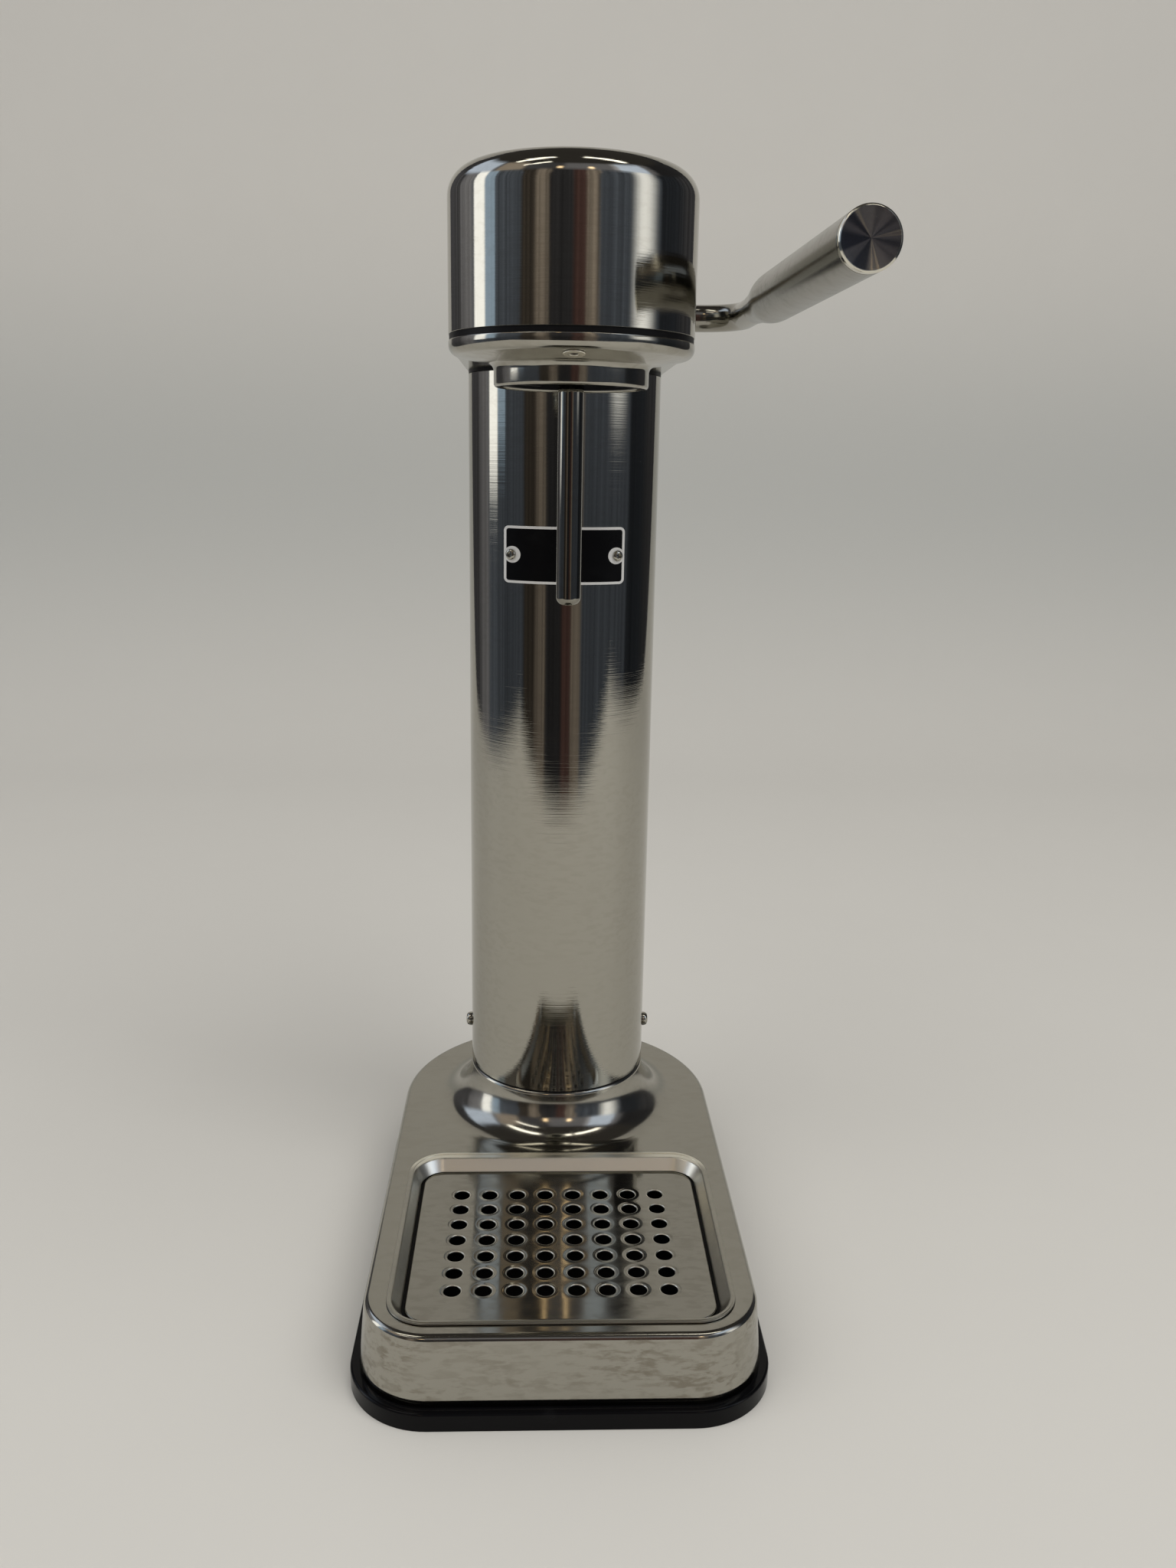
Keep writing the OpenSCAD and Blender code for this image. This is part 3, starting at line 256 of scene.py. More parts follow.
class Tree:
    """A node tree under construction, for a material or the world."""

    def __init__(self, owner):
        owner.use_nodes = True
        self.nodes = owner.node_tree.nodes
        self.links = owner.node_tree.links
        self.nodes.clear()

    def add(self, kind, settings=None, inputs=None, output=0):
        """Adds a node, sets it, feeds its sockets and gives one of its outputs."""
        node = self.nodes.new(kind)
        for key, value in (settings or {}).items():
            if key == "stops":
                node.color_ramp.interpolation = "EASE"
                self.set_stops(node.color_ramp, value)
            else:
                setattr(node, key, value)
        for key, value in (inputs or {}).items():
            if isinstance(value, Value):
                self.links.new(value.socket, node.inputs[key])
            else:
                node.inputs[key].default_value = value
        return Value(self, node.outputs[output]) if node.outputs else node

    @staticmethod
    def set_stops(ramp, stops):
        ramp.elements.remove(ramp.elements[1])
        for i, (place, shade) in enumerate(stops):
            element = ramp.elements.new(place) if i else ramp.elements[0]
            element.position = place
            element.color = (shade, shade, shade, 1.0) if isinstance(shade, float) else (*shade, 1.0)

    def maths(self, operation, *values):
        return self.add("ShaderNodeMath", {"operation": operation}, dict(enumerate(values)))

    def step(self, value, low, high, out_low=0.0, out_high=1.0):
        """Runs smoothly from one output to the other as the value goes from low to high."""
        return self.add(
            "ShaderNodeMapRange",
            {"interpolation_type": "SMOOTHSTEP"},
            {0: value, 1: low, 2: high, 3: out_low, 4: out_high},
        )

    def band(self, value, low, high, soft):
        """One between low and high, with soft edges."""
        return self.step(value, low - soft, low + soft) * self.step(value, high - soft, high + soft, 1.0, 0.0)

    def mix(self, factor, first, second, blend="MIX"):
        first = first if isinstance(first, Value) else (*first, 1.0)
        second = second if isinstance(second, Value) else (*second, 1.0)
        return self.add(
            "ShaderNodeMix",
            {"data_type": "RGBA", "blend_type": blend, "clamp_factor": blend == "MIX"},
            {0: factor, 6: first, 7: second},
            2,
        )

    def join(self, x=0.0, y=0.0, z=0.0):
        """A vector from its three parts."""
        return self.add("ShaderNodeCombineXYZ", {}, {0: x, 1: y, 2: z})

    def split(self, vector):
        """The three parts of a vector."""
        parts = self.nodes.new("ShaderNodeSeparateXYZ")
        self.links.new(vector.socket, parts.inputs[0])
        return [Value(self, out) for out in parts.outputs]

    def place(self, scale=(1, 1, 1), offset=(0, 0, 0)):
        """Object coordinates in metres, stretched for a pattern."""
        spot = self.add("ShaderNodeTexCoord", output="Object")
        return self.add("ShaderNodeMapping", {}, {"Vector": spot, "Scale": scale, "Location": offset})

    def noise(self, vector, scale, detail=3.0, rough=0.5, distortion=0.0):
        pattern = {"Vector": vector, "Scale": scale, "Detail": detail, "Roughness": rough}
        return self.add("ShaderNodeTexNoise", {}, {**pattern, "Distortion": distortion})

    def bump(self, height, distance):
        return self.add("ShaderNodeBump", {}, {"Height": height, "Distance": distance})


class Finish(Tree):
    """A surface material whose values end in one Principled shader."""

    def __init__(self, name):
        self.material = bpy.data.materials.new(name)
        super().__init__(self.material)

    def shade(self, **values):
        named = {key.replace("_", " ").title().replace("Ior", "IOR"): value for key, value in values.items()}
        for key, value in named.items():
            if isinstance(value, tuple) and len(value) == 3:
                named[key] = (*value, 1.0)
        shader = self.add("ShaderNodeBsdfPrincipled", {}, named)
        self.add("ShaderNodeOutputMaterial", {}, {"Surface": shader})
        return self.material


def polished_steel(
    name, brush=(6, 6, 2600), rough=0.04, stains=0.2, smear=0.03, seed=0.0, grain=0.012 * MM, tint=1.0,
    shade_below=None, splash=None, pale=None, mouth=None,
):
    """Mirror steel with polishing lines, dried water marks and smears.

    Below the shade height it has painted shade for hollows that light hardly reaches, above the
    splash height few marks, behind the pale depth painted light in a lighter colour, and at the mouth the
    painted shade of a small hole.
    """
    m = Finish(name)
    _, depth, height = m.split(m.place())
    lines = m.noise(m.place(brush, (seed, seed, seed)), scale=1.0, detail=3.0, rough=0.6)
    cloud_place = m.place((0.6, 1, 1), (seed, 0.3, 0.7))
    cloud = m.noise(cloud_place, scale=26.0, detail=5.0, rough=0.6, distortion=0.4)
    mark_place = m.place((0.4, 1, 1.4), (0.2, seed, 0.9))
    marks = m.step(m.noise(mark_place, scale=330.0, detail=6.0, rough=0.6, distortion=0.3), 0.44, 0.62)
    stain = marks * m.step(cloud, 0.36, 0.56, 0.25, 1.0) * stains
    if splash is not None:
        front = m.step(depth, SPLASH_FRONT, SPLASH_BACK, 1.0, 0.45)
        stain = stain * front * m.step(height, splash - 3 * MM, splash, 1.0, 0.3)
    haze = m.step(cloud, 0.35, 0.75) * smear
    colour = m.mix(stain, dim(tones().steel, tint), dim(tones().stain, tint))
    # Painted light: a lighter colour behind the pale depth, for a brighter reflection there
    if pale is not None:
        colour = m.mix(m.step(depth, pale - 8 * MM, pale), colour, dim(tones().steel, tint * 2.0))
    normal = m.bump(lines + marks * stains * 0.3, grain)
    roughness = haze + stain * 0.12 + (lines - 0.5) * 0.04 + rough
    # Painted shade below the shade height, for hollows where little light reaches, with a rougher surface
    if shade_below is not None:
        painted_recess_shade = m.step(height, shade_below - 0.1 * MM, shade_below + 0.1 * MM, 1.0, 0.0)
        colour = m.mix(painted_recess_shade, colour, PAINTED_RECESS_SHADE)
        roughness = roughness + painted_recess_shade * 0.3
    if mouth is not None:
        mouth_x, mouth_y, mouth_r = mouth
        x, y, _ = m.split(m.place(offset=(-mouth_x, -mouth_y, 0)))
        away = m.maths("SQRT", x * x + y * y)
        colour = m.mix(m.step(away, mouth_r - 0.1 * MM, mouth_r, 1.0, 0.0), colour, HOLE_SHADE)
    return m.shade(base_color=colour, metallic=1.0, roughness=roughness, normal=normal)


def satin_alloy(name, colour, rough):
    """Anodised alloy with a fine blasted skin, pale from every side."""
    m = Finish(name)
    skin = m.noise(m.place(), scale=1500.0, detail=3.0, rough=0.6)
    worn = m.noise(m.place(), scale=120.0, detail=4.0)
    return m.shade(
        base_color=m.mix(m.step(worn, 0.4, 0.8) * 0.3, tuple(colour), dim(colour, 0.75)),
        metallic=0.25,
        roughness=(worn - 0.5) * 0.15 + rough,
        normal=m.bump(skin, 0.01 * MM),
    )


def moulded_plastic(name, colour, rough, grain, shine=0.3):
    """Moulded plastic with a fine skin and lighter patches of dust and light rubbing at random."""
    m = Finish(name)
    skin = m.noise(m.place(), scale=2200.0, detail=2.0)
    rub = m.noise(m.place(), scale=60.0, detail=5.0, rough=0.65)
    lighter = tuple(min(1.0, c * 2.0 + 0.003) for c in colour)
    shade = m.mix(m.step(rub, 0.55, 0.8) * 0.5, tuple(colour), lighter)
    return m.shade(
        base_color=shade,
        roughness=(rub - 0.5) * rough + rough,
        specular_ior_level=shine,
        normal=m.bump(skin, grain),
    )


def machined_metal(name, colour, rough):
    """Turned or cast metal that was never polished."""
    m = Finish(name)
    lines = m.noise(m.place((300, 300, 1800)), scale=1.0, detail=3.0, rough=0.6)
    cloud = m.noise(m.place(), scale=90.0, detail=4.0)
    return m.shade(
        base_color=m.mix(m.step(cloud, 0.35, 0.7), dim(colour, 0.72), tuple(colour)),
        metallic=1.0,
        roughness=(cloud - 0.5) * 0.16 + (lines - 0.5) * 0.1 + rough,
        normal=m.bump(lines, 0.01 * MM),
    )


def arc(x, z, radius, start, end, steps=8):
    """Points of an arc in a section, by angle in degrees."""
    turns = [radians(start + (end - start) * i / steps) for i in range(steps + 1)]
    return [(x + radius * cos(a), z + radius * sin(a)) for a in turns]


def draw_wire(bm, points, loop=False):
    verts = [bm.verts.new(p) for p in points]
    pairs = list(zip(verts, verts[1:])) + ([(verts[-1], verts[0])] if loop else [])
    return verts + [bm.edges.new(pair) for pair in pairs]


def carry(bm, geom, travel):
    """Extrudes a wire along a straight stretch and gives its new end."""
    edges = [g for g in geom if isinstance(g, bmesh.types.BMEdge)]
    new = bmesh.ops.extrude_edge_only(bm, edges=edges)["geom"]
    verts = [g for g in new if isinstance(g, bmesh.types.BMVert)]
    bmesh.ops.translate(bm, verts=verts, vec=travel)
    ends = set(verts)
    return verts + [g for g in new if isinstance(g, bmesh.types.BMEdge) and set(g.verts) <= ends]


def turn(bm, geom, centre, axis, angle, step=ARC_STEP):
    """Spins a wire about an axis by an angle in degrees and gives its new end."""
    steps = max(1, ceil(abs(angle) / step))
    whole = abs(angle) == 360
    return bmesh.ops.spin(
        bm, geom=geom, cent=centre, axis=axis, angle=radians(angle), steps=steps, use_merge=whole
    )["geom_last"]


def weld(bm, verts=None):
    bmesh.ops.remove_doubles(bm, verts=verts or bm.verts, dist=SAME)


def added(bm, before):
    return [v for v in bm.verts if v not in before]


def sweep(bm, section, outline, loop=False, step=ARC_STEP):
    """Carries a section of (out, height) points round an outline of (x, y, radius, angle) turns."""
    before = set(bm.verts)
    x, y, radius, angle = outline[0]
    geom = draw_wire(bm, [(x + radius + out, y, z) for out, z in section], loop)
    heading = Vector((0, 1, 0))
    for i, (x, y, radius, angle) in enumerate(outline):
        if angle:
            geom = turn(bm, geom, (x, y, 0), (0, 0, 1), angle, step)
        heading = Matrix.Rotation(radians(angle), 3, "Z") @ heading
        next_x, next_y = outline[(i + 1) % len(outline)][:2]
        run = heading.dot(Vector((next_x - x, next_y - y, 0)))
        if run > SAME:
            geom = carry(bm, geom, heading * run)
    weld(bm, added(bm, before))


def ring(x, y, radius):
    return [(x, y, radius, 360)]


def stadium(radius, reach, stop):
    """Two half circles and their straight sides, which have a point at the stop."""
    return [(0, 0, radius, 180), (0, stop, radius, 0), (0, -reach, radius, 180), (0, stop, radius, 0)]


def rounded_box(half_w, low_y, high_y, corner):
    right, left = half_w - corner, corner - half_w
    back, front = high_y - corner, low_y + corner
    return [(x, y, corner, 90) for x, y in ((right, back), (left, back), (left, front), (right, front))]


def base_outline(half_w, front, corner, stop):
    """A half circle at the back, straight sides with a point at the stop, and two front corners."""
    x, y = half_w - corner, corner - front
    corners = [(-x, stop, corner, 0), (-x, y, corner, 90), (x, y, corner, 90), (x, stop, corner, 0)]
    return [(0, 0, half_w, 180)] + corners


def level_edges(bm, z, low=-1.0, high=1.0):
    """Open edges at one height, between two depths."""
    return [
        e
        for e in bm.edges
        if len(e.link_faces) < 2
        and all(abs(v.co.z - z) < SAME and low - SAME < v.co.y < high + SAME for v in e.verts)
    ]


def fill_flat(bm, edges, up=True):
    """Fills a flat outline, with or without one hole."""
    bmesh.ops.triangle_fill(bm, edges=edges, use_beauty=False, normal=(0, 0, 1 if up else -1))


def fill_level(bm, z, up=True):
    fill_flat(bm, level_edges(bm, z), up)


def fill_split(bm, z, half_w, stop):
    """Fills a flat outline that has one hole on each side of a line across it."""
    draw_wire(bm, [(-half_w, stop, z), (half_w, stop, z)])
    weld(bm)
    fill_flat(bm, level_edges(bm, z, low=stop))
    fill_flat(bm, level_edges(bm, z, high=stop))


def new_piece(bm, name, material, nodes, wall=0.0, edge=0.0, sharp=38, outward=True):
    """Makes the mesh a finished piece that stands for its nodes and rides on their body."""
    if outward:
        bmesh.ops.recalc_face_normals(bm, faces=bm.faces)
    mesh = bpy.data.meshes.new(name)
    bm.to_mesh(mesh)
    bm.free()
    mesh.shade_smooth()
    mesh.set_sharp_from_angle(angle=radians(sharp))
    piece = bpy.data.objects.new(name, mesh)
    bpy.context.scene.collection.objects.link(piece)
    mesh.materials.append(material)
    if wall:
        solid = piece.modifiers.new("Sheet", "SOLIDIFY")
        solid.thickness = wall
        solid.offset = -1.0
        solid.use_even_offset = True
    if edge:
        soften(piece, edge)
    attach(piece, frame["nodes"][nodes[0]]["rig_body"])
    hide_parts(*nodes)
    return piece


def soften(piece, width, segments=2):
    bevel = piece.modifiers.new("Edge", "BEVEL")
    bevel.width = width
    bevel.segments = segments
    bevel.limit_method = "ANGLE"
    bevel.angle_limit = radians(40)
    bevel.harden_normals = True
    bevel.use_clamp_overlap = True
    weights = piece.modifiers.new("Flats", "WEIGHTED_NORMAL")
    weights.keep_sharp = True


def dress(node, material, edge=0.2 * MM, sharp=32):
    """Gives a node's own shape welded faces, smooth curves and softened edges."""
    bm = bmesh.new()
    bm.from_mesh(frame["nodes"][node].data)
    bmesh.ops.remove_doubles(bm, verts=bm.verts, dist=2 * SAME)
    bmesh.ops.dissolve_limit(bm, angle_limit=radians(0.4), verts=bm.verts, edges=bm.edges)
    return new_piece(bm, node + "_finished", material, [node], edge=edge, sharp=sharp, outward=False)


def paint(material, *nodes):
    """Gives plain nodes, whose shape is right as it is, their material."""
    for node in nodes:
        slots = frame["nodes"][node].data.materials
        slots.clear()
        slots.append(material)


class BuildFoot(Operator):
    """Gloss black foot and the rubber pads under it"""

    bl_idname = "water_maker.foot"
    bl_label = "Foot"

    def execute(self, context):
        gloss = moulded_plastic("foot_gloss_black", tones().gloss_black, 0.08, 0.001 * MM, shine=0.12)
        dress("foot_plinth", gloss, 0.3 * MM)
        paint(moulded_plastic("pad_rubber", tones().rubber, 0.6, 0.03 * MM), "floor_pads")
        return {"FINISHED"}


class BuildBaseShell(Operator):
    """Steel shell of the base, with its flare up to the column"""

    bl_idname = "water_maker.base_shell"
    bl_label = "Base shell"

    def execute(self, context):
        s = context.scene.machine_sizes
        bm = bmesh.new()
        half_w, top, r, lean = SHELL_HIGH.x, s.base_top, s.base_edge, s.base_draft
        foot_h, flat, lap, lap_depth = 3 * MM, 0.8 * MM, 1 * MM, 0.4 * MM
        wall = [(0, SHELL_LOW.z), (-0.1 * lean, SHELL_LOW.z + foot_h)]
        section = wall + arc(-r - lean, top - r, r, 4, 90, 10) + [(-r - lean - flat, top)]
        hole = s.lip + s.lip_gap
        stop = -(s.flare + s.well_back - hole) / 2
        sweep(bm, section, base_outline(half_w, s.base_front, s.base_corner, stop))
        flare_rise, flare_run = SHELL_HIGH.z - top, s.flare - s.column_radius
        curve = [
            (s.flare - flare_run * cos(radians(a)), SHELL_HIGH.z - flare_rise * sin(radians(a)))
            for a in range(0, 91, 5)
        ]
        sweep(bm, curve + [(s.flare + lap, top)], ring(0, 0, 0))
        well = rounded_box(
            s.well_half_w + hole, -s.well_front - hole, -s.well_back + hole, s.well_corner + hole
        )
        sweep(bm, [(0, top - lap_depth), (0, top)], well)
        fill_split(bm, top, half_w - r - lean - flat, stop)
        steel = polished_steel(
            "base_steel", brush=(6, 6, 1800), rough=0.1, stains=1.0, smear=0.08, seed=3.1, grain=0.006 * MM,
            tint=0.95, splash=top,
        )
        new_piece(bm, "base_shell_polished", steel, ["base_shell"], wall=s.sheet)
        return {"FINISHED"}


class BuildDripTray(Operator):
    """Drip tray with its sloped lip, ledge and basin"""

    bl_idname = "water_maker.drip_tray"
    bl_label = "Drip tray"

    def execute(self, context):
        s = context.scene.machine_sizes
        bm = bmesh.new()
        top, floor = TRAY_HIGH.z, TRAY_LOW.z + s.sheet
        ledge_z = PLATE_LOW.z
        rim = rounded_box(TRAY_HIGH.x, TRAY_LOW.y, TRAY_HIGH.y, s.rim_corner)
        groove_depth, groove_h, e = 0.8 * MM, 0.2 * MM, 0.3 * MM
        groove = [
            (-groove_depth, s.base_top),
            (-groove_depth, s.base_top + groove_h),
            (0, s.base_top + groove_h + 0.05 * MM),
        ]
        sweep(bm, groove + [(0, top - e), (-0.3 * e, top - 0.3 * e), (-e, top)], rim)
        fold = arc(s.lip, top - s.sheet, s.sheet, 90, 90 + s.lip_slope * 180 / pi, 5)
        out, height = fold[-1]
        c = 0.4 * MM
        lip = [(s.lip + c, top)] + fold + [(0, height - out * tan(s.lip_slope))]
        step = [(0, ledge_z + c), (-0.25 * c, ledge_z + 0.25 * c), (-c, ledge_z)]
        bend, flat = 2 * MM, 1.2 * MM
        inner = [(-s.ledge + c, ledge_z), (-s.ledge, ledge_z - c), (-s.ledge, floor + bend)]
        corner = arc(-s.ledge - bend, floor + bend, bend, 0, -90, 5)
        section = lip + step + inner + corner[1:] + [(-s.ledge - bend - flat, floor)]
        sweep(bm, section, rounded_box(s.well_half_w, -s.well_front, -s.well_back, s.well_corner))
        fill_level(bm, top)
        fill_level(bm, floor)
        # Painted shade in the basin below the ledge, and painted light, a lighter colour, on the back of the
        # rim and lip
        steel = polished_steel(
            "tray_steel", brush=(12, 900, 900), rough=0.3, stains=0.15, smear=0.06, seed=1.7,
            grain=0.004 * MM, tint=1.1, shade_below=ledge_z + 0.3 * MM, pale=-s.well_back,
        )
        new_piece(bm, "drip_tray_polished", steel, ["drip_tray"], wall=s.sheet, edge=0.25 * MM)
        return {"FINISHED"}


class BuildDripPlate(Operator):
    """Perforated plate with a dimple and a rolled edge round each hole"""

    bl_idname = "water_maker.drip_plate"
    bl_label = "Drip plate"

    def execute(self, context):
        s = context.scene.machine_sizes
        bm = bmesh.new()
        top, thick = PLATE_HIGH.z, PLATE_HIGH.z - PLATE_LOW.z
        r, flat = 0.4 * MM, 0.8 * MM
        edge = [(0, PLATE_LOW.z), (0, top - r)] + arc(-r, top - r, r, 0, 90, 4)[1:] + [(-r - flat, top)]
        sweep(bm, edge, rounded_box(PLATE_HIGH.x, PLATE_LOW.y, PLATE_HIGH.y, s.plate_corner))
        middle = (PLATE_LOW.y + PLATE_HIGH.y) / 2
        tile = self.build_tile(s, top, thick)
        for i in range(s.hole_cols):
            for j in range(s.hole_rows):
                x = (i - (s.hole_cols - 1) / 2) * s.hole_step_x
                y = middle + (j - (s.hole_rows - 1) / 2) * s.hole_step_y
                before = set(bm.verts)
                bm.from_mesh(tile)
                bmesh.ops.translate(bm, verts=added(bm, before), vec=(x, y, 0))
        bpy.data.meshes.remove(tile)
        weld(bm)
        fill_level(bm, top)
        fill_level(bm, PLATE_LOW.z, up=False)
        # Painted shade on the walls of the holes, below the top
        steel = polished_steel(
            "plate_steel", brush=(14, 700, 14), rough=0.06, stains=0.3, smear=0.12, seed=5.3,
            grain=0.004 * MM, tint=0.85, shade_below=top - 0.5 * MM,
        )
        # The rolled edges round the holes: a brighter copy of the steel as a painted highlight ring, with
        # painted shade lower down the hole walls
        bright = polished_steel(
            "plate_edge_painted_highlight", brush=(300, 300, 300), rough=0.3, smear=0.05, seed=2.7,
            grain=0.004 * MM, tint=2.0, shade_below=top - 0.4 * MM,
        )
        # Faces of the rolled edges take the painted highlight steel
        rolled = top - s.dimple_depth - 0.01 * MM
        for face in bm.faces:
            face.material_index = int(top - thick < face.calc_center_median().z < rolled)
        plate = new_piece(bm, "drip_plate_polished", steel, ["drip_plate"])
        plate.data.materials.append(bright)
        return {"FINISHED"}

    @staticmethod
    def build_tile(s, top, thick):
        """One hole with its dimple and rolled edge, in a tile that meets its neighbours."""
        bm = bmesh.new()
        roll, deep, steps = s.hole_roll, s.dimple_depth, 6
        dimple = [
            (s.hole + roll + s.dimple * i / steps, top - deep * (1 + cos(pi * i / steps)) / 2)
            for i in range(steps, -1, -1)
        ]
        edge = arc(s.hole + roll, top - deep - roll, roll, 90, 180, 5)
        sweep(bm, dimple + edge[1:] + [(s.hole, top - thick)], ring(0, 0, 0), step=11.25)
        x, y = s.hole_step_x / 2, s.hole_step_y / 2
        for z in (top, top - thick):
            draw_wire(bm, [(x, y, z), (-x, y, z), (-x, -y, z), (x, -y, z)], loop=True)
            fill_level(bm, z, up=z == top)
        tile = bpy.data.meshes.new("tile")
        bm.to_mesh(tile)
        bm.free()
        return tile


class BuildColumn(Operator):
    """Column tube with its dark rings and side screws"""

    bl_idname = "water_maker.column"
    bl_label = "Column"

    def execute(self, context):
        s = context.scene.machine_sizes
        bm = bmesh.new()
        low, high, r, t = TUBE_LOW.z, TUBE_HIGH.z, s.column_radius, s.sheet
        e, flat = 0.25 * MM, 2 * MM
        outside = [(r, low + e), (r, low + flat), (r, high - flat), (r, high - e), (r - e, high)]
        section = [(r - t, low), (r - e, low)] + outside + [(r - t, high)]
        sweep(bm, section, ring(0, 0, 0), loop=True, step=2)
        steel = polished_steel("column_steel", stains=0.15, seed=7.9)
        new_piece(bm, "column_tube_polished", steel, ["column_tube"])
        rubber = moulded_plastic("ring_rubber", tones().rubber, 0.4, 0.02 * MM, shine=0.15)
        paint(rubber, "column_foot_ring", "column_top_ring")
        screw = polished_steel("screw_steel", brush=(400, 400, 400), rough=0.08, stains=0.1, grain=0.002 * MM)
        dress("column_side_screws", screw, 0.1 * MM)
        return {"FINISHED"}


class BuildBadge(Operator):
    """Badge with a bright border, a bare dark field and two screws"""

    bl_idname = "water_maker.badge"
    bl_label = "Badge"

    def execute(self, context):
        dress("badge_plate", satin_alloy("badge_alloy", tones().satin_alloy, 0.4), 0.12 * MM)
        field = moulded_plastic("badge_black", tones().gloss_black, 0.3, 0.004 * MM, shine=0.1)
        dress("badge_field", field, 0.0)
        dress("badge_screws", bpy.data.materials["screw_steel"], 0.1 * MM)
        return {"FINISHED"}


class BuildDish(Operator):
    """Dish under the head with the bottle collar"""

    bl_idname = "water_maker.dish"
    bl_label = "Dish and collar"

    def execute(self, context):
        s = context.scene.machine_sizes
        bm = bmesh.new()
        r, t, top = s.column_radius, s.dish_sheet, DISH_HIGH.z
        flange, rim, lean = top - t, 1.1 * MM, s.dish_slope * 180 / pi
        c, inner = s.collar, s.collar - s.collar_wall
        opening, bore = s.dish_opening, r - t
        stop = (bore - s.reach - opening) / 2
        edge = arc(r - s.dish_edge, flange, s.dish_edge, lean - 90, 0, 10)
        inside = arc(r - s.dish_edge, flange, s.dish_edge - t, 0, lean - 90, 6)
        fillet = arc(c + s.collar_fillet, 0, s.collar_fillet, 180, 90 + lean, 8)
        lift = edge[0][1] - (edge[0][0] - fillet[-1][0]) * tan(s.dish_slope) - fillet[-1][1]
        section = (
            [(bore, top)]
            + inside
            + [(inner, flange - s.dish_drop), (inner, DISH_LOW.z + rim)]
            + arc(inner + rim, DISH_LOW.z + rim, rim, 180, 270, 5)[1:]
            + arc(c - rim, DISH_LOW.z + rim, rim, -90, 0, 5)
            + [(out, height + lift) for out, height in fillet]
            + edge
        )
        sweep(bm, section, ring(0, -s.reach, 0), step=2)
        e = 0.4 * MM
        sweep(bm, [(0, flange)] + arc(-e, top - e, e, 0, 90, 4), stadium(r, s.reach, stop), step=2)
        sweep(bm, [(opening, top), (opening, flange)], ring(0, 0, 0), step=4)
        weld(bm)
        fill_level(bm, flange, up=False)
        fill_split(bm, top, r - e, stop)
        vent_low, vent_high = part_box("vent_ring")
        mouth = (0, (vent_low.y + vent_high.y) / 2, s.vent_hole)
        steel = polished_steel(
            "dish_steel", brush=(40, 40, 900), rough=0.09, stains=0.35, smear=0.06, seed=2.3,
            grain=0.004 * MM, mouth=mouth,
        )
        new_piece(bm, "head_dish_polished", steel, ["head_dish"])
        vent = polished_steel("vent_steel", brush=(300, 300, 300), rough=0.12, stains=0.1, seed=1.1, tint=2.2)
        dress("vent_ring", vent, 0.22 * MM)
        return {"FINISHED"}


class BuildCap(Operator):
    """Head cap with its gasket and back screw"""

    bl_idname = "water_maker.cap"
    bl_label = "Head cap"

    def execute(self, context):
        s = context.scene.machine_sizes
        bm = bmesh.new()
        low, high, r = CAP_LOW.z, CAP_HIGH.z, s.cap_edge
        e, flat = 0.2 * MM, 1.5 * MM
        section = (
            [(-e, low), (0, low + e), (0, low + flat), (0, high - r - flat)]
            + arc(-r, high - r, r, 0, 90, 18)
            + [(-r - flat, high)]
        )
        sweep(bm, section, stadium(s.column_radius, s.reach, -s.reach / 2), step=2)
        fill_level(bm, high)
        steel = polished_steel("cap_steel", stains=0.15, seed=0.6)
        new_piece(bm, "head_cap_polished", steel, ["head_cap"], wall=s.sheet)
        rubber = moulded_plastic("gasket_rubber", tones().rubber, 0.4, 0.02 * MM, shine=0.1)
        paint(rubber, "head_gasket", "shaft_seal")
        dress("cap_screw", bpy.data.materials["screw_steel"], 0.1 * MM)
        return {"FINISHED"}


class BuildNozzle(Operator):
    """Nozzle tube, with the insert and the seal inside the collar"""

    bl_idname = "water_maker.nozzle"
    bl_label = "Nozzle"

    def execute(self, context):
        s = context.scene.machine_sizes
        bm = bmesh.new()
        low, high, r = NOZZLE_LOW.z, NOZZLE_HIGH.z, NOZZLE_HIGH.x
        tip, spray, wall, e = 2.6 * MM, 0.6 * MM, 1.6 * MM, 0.2 * MM
        section = (
            [(spray, low + wall), (spray, low + e), (spray + e, low)]
            + arc(r - tip, low + tip, tip, -90, 0, 10)
            + [(r, low + tip + 1 * MM), (r, high), (r - wall, high), (r - wall, low + 3 * MM)]
        )
        sweep(bm, section, ring(0, -s.reach, 0), loop=True, step=7.5)
        steel = polished_steel(
            "nozzle_steel", brush=(600, 600, 40), rough=0.05, stains=0.3, seed=4.4, grain=0.002 * MM, tint=0.7
        )
        new_piece(bm, "nozzle_tube_polished", steel, ["nozzle_tube"])
        black = moulded_plastic("collar_black", tones().satin_black, 0.38, 0.01 * MM)
        dress("collar_insert", black)
        paint(black, "nozzle_block", "bay_sleeve", "base_frame")
        rubber = moulded_plastic("seal_rubber", tones().rubber, 0.6, 0.02 * MM)
        paint(rubber, "bottle_seal", "socket_seal", "gas_hose")
        return {"FINISHED"}


